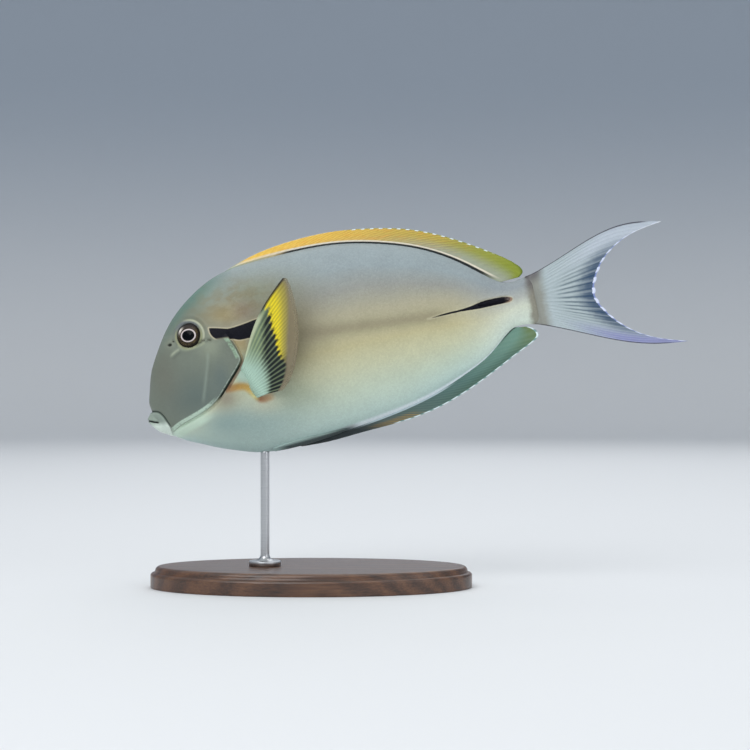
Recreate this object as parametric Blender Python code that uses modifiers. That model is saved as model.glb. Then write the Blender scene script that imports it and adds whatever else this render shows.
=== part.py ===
"""Life-size display model of an epaulette surgeonfish, swimming, on a rod and a base.

Metres, +Z up. The head points along -X and the fish's left flank along -Y. The origin
is on the underside of the base, below the middle of the fish's length. The fish is
modelled in its own frame, in millimetres: along runs from the snout to the tail on the
body's axis, and up is square to it. An empty then tips it head down as it swims.
"""

import math

import bmesh
import bpy
import numpy as np
from mathutils import Matrix, Vector

MM = 0.001
GAP = 0.3  # left between pieces that touch, and cut between the lengths of the body

# How the fish hangs over its base, in metres and radians
PITCH = math.radians(7.8)
AXIS_ORIGIN = (-0.1512, 0.0, 0.1308)
BELLY_HEIGHT = 0.075
SHARP_ANGLE = math.radians(40)

# Sections of the body from the mouth to the root of the tail fin, in millimetres:
# where each meets the back (along, up), where it meets the belly (along, up), its half
# width, and the share of its height, from the belly, where it is widest
SECTIONS = (
    ((-1.6, -38.7), (-1.2, -39.3), 1.6, 0.50),  # floor of the mouth
    ((-4.7, -38.3), (-2.6, -39.7), 3.2, 0.50),  # inner edge of the lips
    ((-5.3, -36.2), (-0.9, -43.2), 4.7, 0.50),  # crest of the lips
    ((-2.8, -32.5), (5.0, -46.6), 5.4, 0.50),  # groove behind the lips
    ((-3.3, -28.6), (8.4, -47.7), 7.2, 0.50),
    ((-2.3, -21.5), (14.0, -50.9), 10.0, 0.50),
    ((-0.1, -11.5), (22.0, -54.0), 12.4, 0.50),
    ((4.6, -0.8), (30.5, -57.2), 14.2, 0.50),
    ((13.0, 13.6), (39.5, -59.9), 15.8, 0.52),  # brow
    ((25.5, 26.6), (49.0, -62.4), 17.0, 0.54),  # nape
    ((41.5, 37.0), (58.5, -63.6), 18.0, 0.55),  # gill opening
    ((60.0, 42.2), (71.0, -63.5), 18.6, 0.55),
    ((84.0, 45.2), (89.0, -61.0), 18.6, 0.55),
    ((110.0, 46.5), (112.0, -56.3), 17.0, 0.54),  # highest point of the back
    ((135.0, 43.7), (136.0, -50.7), 14.4, 0.53),
    ((158.0, 37.7), (158.0, -43.5), 11.4, 0.52),
    ((178.0, 28.0), (178.0, -34.0), 8.7, 0.51),
    ((192.0, 18.4), (191.5, -25.0), 6.9, 0.50),
    ((204.0, 12.2), (203.5, -14.4), 5.5, 0.50),  # tail stalk
    ((211.0, 13.0), (211.5, -12.6), 4.8, 0.50),
    ((217.5, 14.7), (219.5, -13.8), 4.0, 0.50),  # root of the tail fin
)
RING_SPACING = 6.0  # between the rings of the body's mesh
FEWEST_RINGS = 2  # between two sections
RING_SIDES = 36
FLANK_CROWDING = 0.35  # how far a ring's points crowd from its ends to its flanks
BACK_ROUNDNESS = 1.22  # 1 is an ellipse, and more is a keel
BELLY_ROUNDNESS = 1.12

# Lines that part the body, as (along, up) points seen from the side
GILL_LINE = (
    (40.0, 60.0), (40.5, 40.0), (43.0, 21.4), (44.9, 8.0), (46.7, 2.6), (49.6, -3.2),
    (52.0, -10.2), (49.6, -14.8), (43.2, -22.8), (36.2, -30.8), (28.4, -36.2),
    (20.3, -40.0), (14.4, -43.4), (11.6, -47.0), (11.0, -58.0),
)
LIP_LINE = (
    (-14.0, -31.8), (-2.6, -32.5), (1.8, -33.6), (4.2, -35.8), (5.8, -38.8),
    (7.0, -42.4), (7.6, -52.0),
)
MOUTH_LINE = ((-14.0, -35.6), (-3.6, -38.0), (0.8, -39.2), (6.2, -39.8))
TAIL_LINE = ((180.0, 60.0), (180.0, -60.0))
GILL_COVER_FRONT = (
    (35.0, -1.2), (34.0, -8.4), (31.9, -17.2), (29.8, -26.1), (29.9, -33.4),
)
GILL_COVER_REAR = (
    (45.3, 4.6), (46.2, 2.6), (49.1, -3.2), (51.5, -10.1), (49.2, -14.6),
    (42.8, -22.8), (35.8, -30.8), (29.9, -34.9),
)
GILL_COVER_THICKNESS = 2.2
GILL_LIFT = 0.7  # how far the gill cover's rear edge stands proud of the trunk
GILL_LIFT_REACH = 6.0
PART_WIDTH = 60.0  # of a cutter, across the fish

# Eye, nostril and scalpel
EYE_CENTRE = (24.8, 6.4)
EYE_RADIUS = 7.3
EYE_DEPTH = 3.6  # half the eye's thickness
EYE_PROUD = 2.0  # how far its front stands out of the head
ORBIT_RIM = (7.5, 1.0)  # radius of the rim round the eye, and of its section
NOSTRILS = (((13.4, 2.9), 0.9), ((15.2, 4.4), 0.6))  # place and radius of each pit
SCALPEL_ROOT = (204.3, 2.8)
SCALPEL_TIP = (186.2, 1.6)
SCALPEL_HALF_HEIGHT = 1.5
SCALPEL_HALF_THICKNESS = 0.75
SCALPEL_PROUD = 0.75  # how far the folded blade stands out of its groove

# Dorsal and anal fins: outer margins, root lengths and rays
DORSAL_ROOT = (49.0, 201.5)
DORSAL_MARGIN = (
    (52.0, 41.4), (58.0, 43.9), (70.0, 47.9), (90.0, 51.9), (112.0, 53.6),
    (136.0, 52.2), (158.0, 48.0), (180.0, 39.4), (200.0, 28.9), (210.5, 21.8),
    (213.8, 17.2), (211.4, 14.2),
)
DORSAL_SPINES = 9
DORSAL_RAYS = 26
ANAL_ROOT = (77.0, 205.5)
ANAL_MARGIN = (
    (79.0, -63.9), (94.0, -62.6), (111.0, -60.2), (128.0, -58.1), (143.0, -55.7),
    (159.0, -51.3), (176.0, -44.0), (193.0, -34.8), (208.0, -26.2), (217.2, -20.4),
    (217.6, -18.0), (215.4, -15.4), (211.8, -13.8),
)
ANAL_SPINES = 3
ANAL_RAYS = 24
FIN_ROWS = 4
SHEATH_HALF_THICKNESS = 1.1
SPINE_RIDGE = 0.35
RAY_RIDGE = 0.25
MEMBRANE_HALF_THICKNESS = 0.28

# Tail fin: trailing edge from the lower tip to the upper one, and its lobes' edges
TAIL_MARGIN = (
    (300.5, -34.1), (280.0, -28.6), (265.0, -19.6), (256.0, -9.6), (252.4, -1.0),
    (254.8, 9.6), (262.0, 20.2), (276.0, 29.4), (294.5, 34.2),
)
TAIL_RAYS_A_LOBE = 8
TAIL_ROWS = 10
UPPER_LOBE_BOW = 7.5  # how far each lobe's outer edge bows out of a straight line
LOWER_LOBE_BOW = 4.4
BOW_SKEW = 1.45  # puts the deepest of the bow beyond the middle
TAIL_ROOT_HALF_THICKNESS = 3.4
LOBE_EDGE_RIDGE = 0.5

# Pectoral fin: its root on the flank, its margin, and how far it stands off the body
PECTORAL_ROOT = ((53.2, -13.5), (61.5, -31.6))
PECTORAL_MARGIN = (
    (82.4, 28.5), (85.4, 21.9), (86.8, 11.4), (86.3, 0.9), (84.6, -8.7),
    (81.8, -17.3), (77.8, -25.1), (72.7, -30.6),
)
PECTORAL_RAYS = 16
PECTORAL_ROWS = 7
PECTORAL_SPREAD = (25.0, 5.0)  # of the first ray's tip and the last one's
PECTORAL_ROOT_HALF_THICKNESS = 1.7
LEADING_EDGE_BOW = -3.0
ROOT_DEPTH = 4.0  # how deep a paired fin's root is sunk before the body cuts it off

# Pelvic fin, folded back along the belly
PELVIC_ROOT_ALONG = 63.0
PELVIC_LENGTHS = (38.0, 41.5, 40.0, 34.5, 28.5, 23.0)  # inner ray first, spine last
PELVIC_LOW_EDGE = 0.5  # above the keel
PELVIC_WIDTH = 3.6
PELVIC_ROWS = 6
PELVIC_ROOT_HALF_THICKNESS = 0.5

# Stand, in metres
BASE_CENTRE = (-0.060, 0.0)
BASE_LENGTH = 0.180
BASE_WIDTH = 0.094
BASE_THICKNESS = 0.012
BASE_BEVEL = 0.0025
ROD_X = -0.086
ROD_RADIUS = 0.0025
ROD_FOOT_RADIUS = 0.009
ROD_FOOT_HEIGHT = 0.0025
ROD_FOOT_FILLET = 0.003
ROUND_STEPS = 20


def spline(knots, values, at):
    """A natural cubic spline through values at knots, read at the places at."""
    knots = np.asarray(knots, float)
    values = np.asarray(values, float).reshape(len(knots), -1)
    at = np.atleast_1d(np.asarray(at, float))
    step = np.diff(knots)
    slope = np.diff(values, axis=0) / step[:, None]
    system = np.eye(len(knots))
    target = np.zeros_like(values)
    for i in range(1, len(knots) - 1):
        system[i, i - 1 : i + 2] = step[i - 1], 2 * (step[i - 1] + step[i]), step[i]
        target[i] = 6 * (slope[i] - slope[i - 1])
    bend = np.linalg.solve(system, target)
    k = np.clip(np.searchsorted(knots, at, side="right") - 1, 0, len(knots) - 2)
    past = (at - knots[k])[:, None]
    width = step[k][:, None]
    return (
        values[k]
        + past * (slope[k] - width * (2 * bend[k] + bend[k + 1]) / 6)
        + past**2 * bend[k] / 2
        + past**3 * (bend[k + 1] - bend[k]) / (6 * width)
    )


def smooth_curve(points, share):
    """Points at the given shares of a smooth curve's length through some points."""
    points = np.asarray(points, float)
    chords = np.linalg.norm(np.diff(points, axis=0), axis=1)
    knots = np.concatenate([[0], np.cumsum(np.sqrt(chords))])
    fine = spline(knots, points, np.linspace(0, knots[-1], 40 * len(points)))
    length = np.concatenate([[0], np.cumsum(np.linalg.norm(np.diff(fine, axis=0), axis=1))])
    at = np.asarray(share, float) * length[-1]
    return np.stack([np.interp(at, length, fine[:, i]) for i in range(2)], axis=-1)


def section_knots():
    """The sections' places along the loft, spaced by how far they lie apart."""
    ends = np.array([[*back, *belly] for back, belly, _, _ in SECTIONS])
    moves = np.diff(ends, axis=0)
    apart = (np.hypot(moves[:, 0], moves[:, 1]) + np.hypot(moves[:, 2], moves[:, 3])) / 2
    return np.concatenate([[0], np.cumsum(np.sqrt(apart))]), apart


def sections_at(place):
    """Columns of the sections at places along the loft: back, belly, width, level."""
    rows = [[*back, *belly, half, level] for back, belly, half, level in SECTIONS]
    return spline(section_knots()[0], rows, place)


def ring_places():
    """Where the rings of the body's mesh lie: close on the lips, wider on the trunk."""
    knots, apart = section_knots()
    counts = np.maximum(FEWEST_RINGS, np.ceil(apart / RING_SPACING).astype(int))
    spans = [
        np.linspace(knots[i], knots[i + 1], n, endpoint=False)
        for i, n in enumerate(counts)
    ]
    return np.concatenate([*spans, knots[-1:]])


def gill_distance(along, up):
    """How far points seen from the side lie from the gill line."""
    line = smooth_curve(GILL_LINE, np.linspace(0, 1, 160))
    apart = np.stack([along, up], -1)[..., None, :] - line
    return np.linalg.norm(apart, axis=-1).min(-1)


def skin(place, angle, swell=0.0, lift=0.0):
    """Points of the skin, in millimetres in the fish's frame (along, across, up).

    angle is 0 on the back, a quarter turn on the left flank and a half turn on the
    belly. A section is two half ovals that meet at its widest level. swell grows it,
    and lift raises the gill cover's edge.
    """
    back_a, back_u, belly_a, belly_u, half, level = sections_at(place.ravel()).T
    shape = place.shape
    turn = np.asarray(angle, float).ravel()
    rise = np.cos(turn)
    share = np.where(rise > 0, level + (1 - level) * rise, level + level * rise)
    roundness = np.where(rise > 0, BACK_ROUNDNESS, BELLY_ROUNDNESS)
    reach = np.abs(np.sin(turn)) ** roundness * np.sign(np.sin(turn))
    run_a, run_u = back_a - belly_a, back_u - belly_u
    height = np.hypot(run_a, run_u)
    along = belly_a + share * run_a + swell * rise * run_a / height
    up = belly_u + share * run_u + swell * rise * run_u / height
    near_gill = np.exp(-((gill_distance(along, up) / GILL_LIFT_REACH) ** 2)) if lift else 0
    across = -(half + swell + lift * near_gill) * reach
    return np.stack([along, across, up], -1).reshape(*shape, 3)


def flank(along, up):
    """The skin's half width at points seen from the side."""
    place = np.linspace(0, section_knots()[0][-1], 700)
    back_a, back_u, belly_a, belly_u, half, level = sections_at(place).T
    along, up = np.broadcast_arrays(np.asarray(along, float), np.asarray(up, float))
    found = []
    for a, u in zip(along.ravel(), up.ravel()):
        side = (back_a - belly_a) * (u - belly_u) - (back_u - belly_u) * (a - belly_a)
        k = int(np.nonzero(np.diff(np.sign(side)))[0][-1])
        t = side[k] / (side[k] - side[k + 1])
        low = np.array([belly_a[k], belly_u[k]]) * (1 - t) + np.array(
            [belly_a[k + 1], belly_u[k + 1]]
        ) * t
        high = np.array([back_a[k], back_u[k]]) * (1 - t) + np.array(
            [back_a[k + 1], back_u[k + 1]]
        ) * t
        share = np.dot([a, u] - low, high - low) / np.dot(high - low, high - low)
        upper = share > level[k]
        rise = (share - level[k]) / ((1 - level[k]) if upper else level[k])
        roundness = BACK_ROUNDNESS if upper else BELLY_ROUNDNESS
        reach = max(0.0, 1 - min(1.0, abs(rise)) ** 2) ** (roundness / 2)
        found.append((half[k] * (1 - t) + half[k + 1] * t) * reach)
    return np.array(found).reshape(along.shape)


def left_skin(along, up, off=0.0):
    """Points on the left flank, moved off it along its normal, and the normals."""
    step = 0.4
    wide = flank(along, up)
    slope_a = (flank(along + step, up) - flank(along - step, up)) / (2 * step)
    slope_u = (flank(along, up + step) - flank(along, up - step)) / (2 * step)
    normal = np.stack([-slope_a, -np.ones_like(wide), -slope_u], -1)
    normal /= np.linalg.norm(normal, axis=-1, keepdims=True)
    along, up, off = np.broadcast_arrays(along, up, off, wide)[:3]
    return np.stack([along, -wide, up], -1) + normal * off[..., None], normal


def back_height(along):
    """The back's outline, as a height for each place along the fish."""
    fine = sections_at(np.linspace(*section_knots()[0][[6, -1]], 500))
    return np.interp(along, fine[:, 0], fine[:, 1])


def belly_height(along):
    """The belly's outline, as a height for each place along the fish."""
    fine = sections_at(np.linspace(*section_knots()[0][[5, -1]], 500))
    return np.interp(along, fine[:, 2], fine[:, 3])


def new_object(name, points, faces, collection, parent):
    """A mesh object from points in millimetres and faces, facing outwards."""
    mesh = bpy.data.meshes.new(name)
    mesh.from_pydata((np.asarray(points) * MM).tolist(), [], faces)
    work = bmesh.new()
    work.from_mesh(mesh)
    bmesh.ops.recalc_face_normals(work, faces=work.faces)
    work.to_mesh(mesh)
    work.free()
    thing = bpy.data.objects.new(name, mesh)
    thing.parent = parent
    collection.objects.link(thing)
    return thing


def body_loft(name, collection, parent, swell=0.0, lift=0.0):
    """The whole body as one closed surface, with a flat cap at each end."""
    places = ring_places()
    turn = np.linspace(0, 2 * math.pi, RING_SIDES, endpoint=False)
    turn = turn + FLANK_CROWDING * np.sin(2 * turn) / 2
    place, angle = np.meshgrid(places, turn, indexing="ij")
    points = skin(place, angle, swell, lift).reshape(-1, 3)
    index = np.arange(len(points)).reshape(place.shape)
    after = np.roll(index, -1, axis=1)
    quads = np.stack([index[:-1], index[1:], after[1:], after[:-1]], -1).reshape(-1, 4)
    caps = [index[0].tolist(), index[-1][::-1].tolist()]
    return new_object(name, points, quads.tolist() + caps, collection, parent)


def blade(name, middle, across, half, collection, parent):
    """A fin: two like faces, half a thickness either side of a middle surface, and
    the rim that joins them. Rows run from the root out, and columns along the root."""
    rows, columns = half.shape
    offset = across * half[..., None]
    points = np.concatenate([(middle + offset).reshape(-1, 3), (middle - offset).reshape(-1, 3)])
    near = np.arange(rows * columns).reshape(rows, columns)
    a, b, c, d = near[:-1, :-1], near[:-1, 1:], near[1:, 1:], near[1:, :-1]
    face = np.concatenate([np.stack([a, b, c], -1), np.stack([a, c, d], -1)]).reshape(-1, 3)
    far = rows * columns
    edge = np.concatenate([near[0], near[1:, -1], near[-1, -2::-1], near[-2:0:-1, 0]])
    ahead = np.roll(edge, -1)
    rim = np.concatenate(
        [np.stack([edge, edge + far, ahead], -1), np.stack([ahead, edge + far, ahead + far], -1)]
    )
    faces = np.concatenate([face, face[:, ::-1] + far, rim])
    return new_object(name, points, faces.tolist(), collection, parent)


def surface_normals(middle):
    """Unit normals of a grid of points."""
    normal = np.cross(np.gradient(middle, axis=0), np.gradient(middle, axis=1))
    return normal / np.linalg.norm(normal, axis=-1, keepdims=True)


def part_sheet(name, line, cutters, parent, thickness=GAP):
    """A thin cutter right across the fish, along a line seen from the side."""
    count = 3 * len(line) + 4 if len(line) > 2 else 2
    path = smooth_curve(line, np.linspace(0, 1, count))
    sides = [np.insert(path, 1, y, axis=1) for y in (-PART_WIDTH / 2, PART_WIDTH / 2)]
    points = np.concatenate(sides)
    faces = [(i, i + 1, i + 1 + count, i + count) for i in range(count - 1)]
    sheet = new_object(name, points, faces, cutters, parent)
    wall = sheet.modifiers.new("thickness", "SOLIDIFY")
    wall.thickness = thickness * MM
    wall.offset = 0
    return as_cutter(sheet)


def as_cutter(thing):
    """Marks an object as a helper that isn't part of the model."""
    thing.hide_render = True
    thing.display_type = "WIRE"
    return thing


def boolean(target, other, operation="DIFFERENCE"):
    """Cuts, joins or intersects target with other, and keeps the result as its mesh."""
    step = target.modifiers.new(operation.lower(), "BOOLEAN")
    step.operation = operation
    step.solver = "EXACT"
    step.object = other
    bpy.context.view_layer.update()
    graph = bpy.context.evaluated_depsgraph_get()
    result = bpy.data.meshes.new_from_object(target.evaluated_get(graph))
    target.modifiers.clear()
    target.data = result
    return target


def islands(thing):
    """The vertex indices of each separate body of a mesh."""
    edges = np.array([tuple(e.vertices) for e in thing.data.edges])
    label = np.arange(len(thing.data.vertices))
    while True:
        low = np.minimum(label[edges[:, 0]], label[edges[:, 1]])
        before = label.copy()
        np.minimum.at(label, edges[:, 0], low)
        np.minimum.at(label, edges[:, 1], low)
        label = label[label]
        if (label == before).all():
            return [np.nonzero(label == one)[0] for one in np.unique(label)]


def keep_island(thing, score):
    """Keeps the one body of a mesh whose middle, in millimetres, scores highest."""
    place = np.array([v.co for v in thing.data.vertices]) / MM
    groups = [group for group in islands(thing) if len(group) > 20]
    best = max(groups, key=lambda group: score(place[group].mean(0)))
    work = bmesh.new()
    work.from_mesh(thing.data)
    work.verts.ensure_lookup_table()
    kept = set(best.tolist())
    spare = [v for v in work.verts if v.index not in kept]
    bmesh.ops.delete(work, geom=spare, context="VERTS")
    work.to_mesh(thing.data)
    work.free()
    return thing


def copy_of(thing, name, collection):
    """A copy of an object with a mesh of its own."""
    copy = thing.copy()
    copy.data = thing.data.copy()
    copy.name = copy.data.name = name
    copy.hide_render = False
    collection.objects.link(copy)
    return copy


def mirrored(thing, name, collection):
    """The right-hand twin of a left-hand piece."""
    twin = copy_of(thing, name, collection)
    work = bmesh.new()
    work.from_mesh(twin.data)
    for vertex in work.verts:
        vertex.co.y = -vertex.co.y
    bmesh.ops.reverse_faces(work, faces=work.faces)
    work.to_mesh(twin.data)
    work.free()
    return twin


def finish(thing, colour, roughness, metallic=0.0):
    """Gives an object its own material, and smooth shading between its sharp edges."""
    thing.data.shade_smooth()
    thing.data.set_sharp_from_angle(angle=SHARP_ANGLE)
    material = bpy.data.materials.new(thing.name)
    material.use_nodes = True
    shader = material.node_tree.nodes["Principled BSDF"]
    shader.inputs["Base Color"].default_value = (*colour, 1.0)
    shader.inputs["Roughness"].default_value = roughness
    shader.inputs["Metallic"].default_value = metallic
    thing.data.materials.clear()
    thing.data.materials.append(material)
    return thing


def turned_to(normal):
    """Rotation that takes +Z to a direction."""
    return Vector(normal).to_track_quat("Z", "Y").to_matrix().to_4x4()


def make_eye(name, radius, depth, collection, parent):
    """An eye as a flattened ball on the left of the head, facing square to the skin."""
    centre, normal = left_skin(*np.array(EYE_CENTRE), off=EYE_PROUD - EYE_DEPTH)
    bpy.ops.mesh.primitive_uv_sphere_add(segments=24, ring_count=10, radius=1.0)
    eye = bpy.context.object
    eye.name = eye.data.name = name
    shape = Matrix.Diagonal((radius * MM, radius * MM, depth * MM, 1.0))
    eye.data.transform(Matrix.Translation(centre * MM) @ turned_to(normal) @ shape)
    for owner in eye.users_collection:
        owner.objects.unlink(eye)
    collection.objects.link(eye)
    eye.parent = parent
    return eye


def make_orbit_rim(cutters, parent):
    """The raised rim of skin round the left eye."""
    centre, normal = left_skin(*np.array(EYE_CENTRE), off=-0.25)
    ring, section = ORBIT_RIM
    bpy.ops.mesh.primitive_torus_add(
        major_segments=29, minor_segments=7, major_radius=ring * MM, minor_radius=section * MM
    )
    rim = bpy.context.object
    rim.name = rim.data.name = "orbit_rim"
    rim.data.transform(Matrix.Translation(centre * MM) @ turned_to(normal))
    for owner in rim.users_collection:
        owner.objects.unlink(rim)
    cutters.objects.link(rim)
    rim.parent = parent
    return as_cutter(rim)


def make_pit(place, radius, cutters, parent):
    """A ball that hollows a nostril."""
    centre, _ = left_skin(*np.array(place), off=radius * 0.2)
    bpy.ops.mesh.primitive_uv_sphere_add(segments=10, ring_count=6, radius=radius * MM)
    pit = bpy.context.object
    pit.name = pit.data.name = "nostril_pit"
    pit.data.transform(Matrix.Translation(centre * MM))
    for owner in pit.users_collection:
        owner.objects.unlink(pit)
    cutters.objects.link(pit)
    pit.parent = parent
    return as_cutter(pit)


def gill_cover_prism(name, grow, cutters, parent):
    """The region of the left gill cover, right across that side, grown on its edges."""
    front = smooth_curve(GILL_COVER_FRONT, np.linspace(0, 1, 10))
    rear = smooth_curve(GILL_COVER_REAR, np.linspace(0, 1, 22))
    outline = np.concatenate([front[::-1], rear])
    middle = outline.mean(0)
    away = outline - middle
    outline = middle + away * (1 + grow / np.linalg.norm(away, axis=1, keepdims=True))
    count = len(outline)
    rings = [np.insert(outline, 1, y, axis=1) for y in (-PART_WIDTH / 2, -1.0)]
    faces = [(i, (i + 1) % count, (i + 1) % count + count, i + count) for i in range(count)]
    caps = [tuple(range(count)), tuple(range(count, 2 * count))]
    return as_cutter(new_object(name, np.concatenate(rings), faces + caps, cutters, parent))


def make_flesh(model, cutters, parent):
    """The head, jaws, gill covers, trunk and tail stalk, parted by thin cuts."""
    gill = part_sheet("gill_cut", GILL_LINE, cutters, parent)
    lip = part_sheet("lip_cut", LIP_LINE, cutters, parent)
    mouth = part_sheet("mouth_cut", MOUTH_LINE, cutters, parent, 0.5)
    tail = part_sheet("tail_cut", TAIL_LINE, cutters, parent)

    trunk = body_loft("trunk", model, parent)
    boolean(boolean(trunk, gill), tail)
    tail_stalk = copy_of(trunk, "tail_stalk", model)
    keep_island(trunk, lambda middle: -abs(middle[0] - 100))
    keep_island(tail_stalk, lambda middle: middle[0])

    head = body_loft("head", model, parent, lift=GILL_LIFT)
    for cut in (gill, lip, mouth):
        boolean(head, cut)
    upper_jaw = copy_of(head, "upper_jaw", model)
    lower_jaw = copy_of(head, "lower_jaw", model)
    keep_island(head, lambda middle: -abs(middle[0] - 22))
    keep_island(upper_jaw, lambda middle: middle[2] if middle[0] < 6 else -1e3)
    keep_island(lower_jaw, lambda middle: -middle[2] if middle[0] < 6 else -1e3)

    core = as_cutter(body_loft("core", cutters, parent, swell=-GILL_COVER_THICKNESS))
    deeper = as_cutter(body_loft("deeper_core", cutters, parent, swell=-GILL_COVER_THICKNESS - GAP))
    cover = gill_cover_prism("gill_cover_region", -GAP / 2, cutters, parent)
    recess = gill_cover_prism("gill_cover_recess", GAP / 2, cutters, parent)
    left = copy_of(head, "gill_cover_left", model)
    boolean(boolean(left, cover, "INTERSECT"), core)
    keep_island(left, lambda middle: -middle[1])
    boolean(recess, deeper)
    right_recess = as_cutter(mirrored(recess, "gill_cover_recess_right", cutters))
    boolean(boolean(head, recess), right_recess)
    keep_island(head, lambda middle: -abs(middle[1]))
    right = mirrored(left, "gill_cover_right", model)
    return head, upper_jaw, lower_jaw, left, right, trunk, tail_stalk


def make_face(head, model, cutters, parent):
    """Eyes in their sockets, the rims round them, and the nostrils."""
    rim = make_orbit_rim(cutters, parent)
    socket = as_cutter(make_eye("socket", EYE_RADIUS + GAP, EYE_DEPTH + GAP, cutters, parent))
    pits = [make_pit(place, radius, cutters, parent) for place, radius in NOSTRILS]
    for tool, operation in [(rim, "UNION"), (socket, "DIFFERENCE")] + [
        (pit, "DIFFERENCE") for pit in pits
    ]:
        twin = as_cutter(mirrored(tool, tool.name + "_right", cutters))
        boolean(head, tool, operation)
        boolean(head, twin, operation)
    keep_island(head, lambda middle: -abs(middle[1]))
    left = make_eye("eye_left", EYE_RADIUS, EYE_DEPTH, model, parent)
    return left, mirrored(left, "eye_right", model)


def ray_columns(rays):
    """Places of the columns of a fin from 0 to 1, and which of them run along rays."""
    count = 2 * rays + 1
    return np.linspace(0, 1, count), (np.arange(count) % 2 == 1).astype(float)


def make_median_fin(name, root, outline, height_of, margin, spines, rays, model, parent):
    """The dorsal or anal fin: rays lean back from the body's edge to the margin."""
    share, on_ray = ray_columns(spines + rays)
    along = root[0] + (root[1] - root[0]) * share
    foot = np.stack([along, height_of(along) + GAP * outline], -1)
    tip = smooth_curve(margin, share)
    out = np.linspace(0, 1, FIN_ROWS)[:, None, None]
    flat = foot * (1 - out) + tip * out
    middle = np.insert(flat, 1, 0.0, axis=-1)
    across = np.zeros_like(middle)
    across[..., 1] = 1.0
    ridge = np.where(share < spines / (spines + rays), SPINE_RIDGE, RAY_RIDGE) * on_ray
    rise = np.linspace(0, 1, FIN_ROWS)[:, None]
    half = MEMBRANE_HALF_THICKNESS + ridge * (1 - 0.6 * rise)
    half = half + (SHEATH_HALF_THICKNESS - MEMBRANE_HALF_THICKNESS) * (1 - rise) ** 3
    return blade(name, middle, across, half, model, parent)


def make_tail_lobe(name, side, bow, model, parent):
    """One lobe of the tail fin: side is 1 for the upper lobe and -1 for the lower.

    Rays run from the tail stalk's end to the trailing edge, and bow outwards by
    bow * sin(pi * out ** skew), most on the lobe's outer edge.
    """
    share, on_ray = ray_columns(TAIL_RAYS_A_LOBE)
    belly, back = np.array(SECTIONS[-1][1]), np.array(SECTIONS[-1][0])
    height = 0.5 + 0.5 * side * share
    foot = belly + (back - belly) * height[:, None] + [GAP, 0.0]
    tip = smooth_curve(TAIL_MARGIN, 0.5 + 0.5 * side * share)
    out = np.linspace(0, 1, TAIL_ROWS)[:, None]
    flat = foot * (1 - out[..., None]) + tip * out[..., None]
    flat[..., 1] += side * bow * np.sin(math.pi * out**BOW_SKEW) * share**2.5
    flat[..., 1] += side * (GAP / 2) * (share < 1e-6)
    middle = np.insert(flat, 1, 0.0, axis=-1)
    across = np.zeros_like(middle)
    across[..., 1] = 1.0
    flesh = np.sqrt(np.maximum(0.02, 1 - share**2)) * np.maximum(0, 1 - out / 0.3) ** 2.2
    half = MEMBRANE_HALF_THICKNESS + RAY_RIDGE * on_ray * (1 - 0.5 * out)
    half = half + LOBE_EDGE_RIDGE * share**3 * (1 - out) ** 0.7
    half = half + (TAIL_ROOT_HALF_THICKNESS - MEMBRANE_HALF_THICKNESS) * flesh
    return blade(name, middle, across, half, model, parent)


def make_pectoral(model, cutters, parent, body):
    """The left pectoral fin, raised and spread off the flank, with its root cut off
    where it meets the skin."""
    share, on_ray = ray_columns(PECTORAL_RAYS)
    first, last = np.array(PECTORAL_ROOT)
    foot = first + (last - first) * share[:, None]
    tip = smooth_curve(PECTORAL_MARGIN, share)
    length = np.linalg.norm(tip - foot, axis=1)
    sunk = -ROOT_DEPTH / length
    out = np.linspace(0, 1, PECTORAL_ROWS)[:, None]
    out = np.concatenate([sunk[None, :], 0 * sunk[None, :] + out])
    flat = foot * (1 - out[..., None]) + tip * out[..., None]
    bow = LEADING_EDGE_BOW * np.sin(math.pi * np.clip(out, 0, 1)) * (1 - share) ** 2
    flat[..., 0] += bow
    flat[..., 1] -= bow * 0.7
    spread = PECTORAL_SPREAD[0] + (PECTORAL_SPREAD[1] - PECTORAL_SPREAD[0]) * share
    root_across = flank(foot[:, 0], foot[:, 1])
    stand_off = spread * np.maximum(out, 0) ** 1.15 + ROOT_DEPTH * 0.6 * np.minimum(out / -sunk, 0)
    across = -(root_across + stand_off)
    middle = np.stack([flat[..., 0], across, flat[..., 1]], -1)
    reach = np.clip(out, 0, 1)
    half = MEMBRANE_HALF_THICKNESS + RAY_RIDGE * on_ray * (1 - 0.5 * reach)
    half = half + 0.3 * (1 - share) ** 6 * (1 - reach)
    half = half + (PECTORAL_ROOT_HALF_THICKNESS - MEMBRANE_HALF_THICKNESS) * (
        np.clip(1 - reach / 0.3, 0, 1) ** 2 * np.minimum(1, 5 * share + 0.5)
    )
    fin = blade("pectoral_fin_left", middle, surface_normals(middle), half, model, parent)
    boolean(fin, body)
    return keep_island(fin, lambda place: -place[1])


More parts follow.
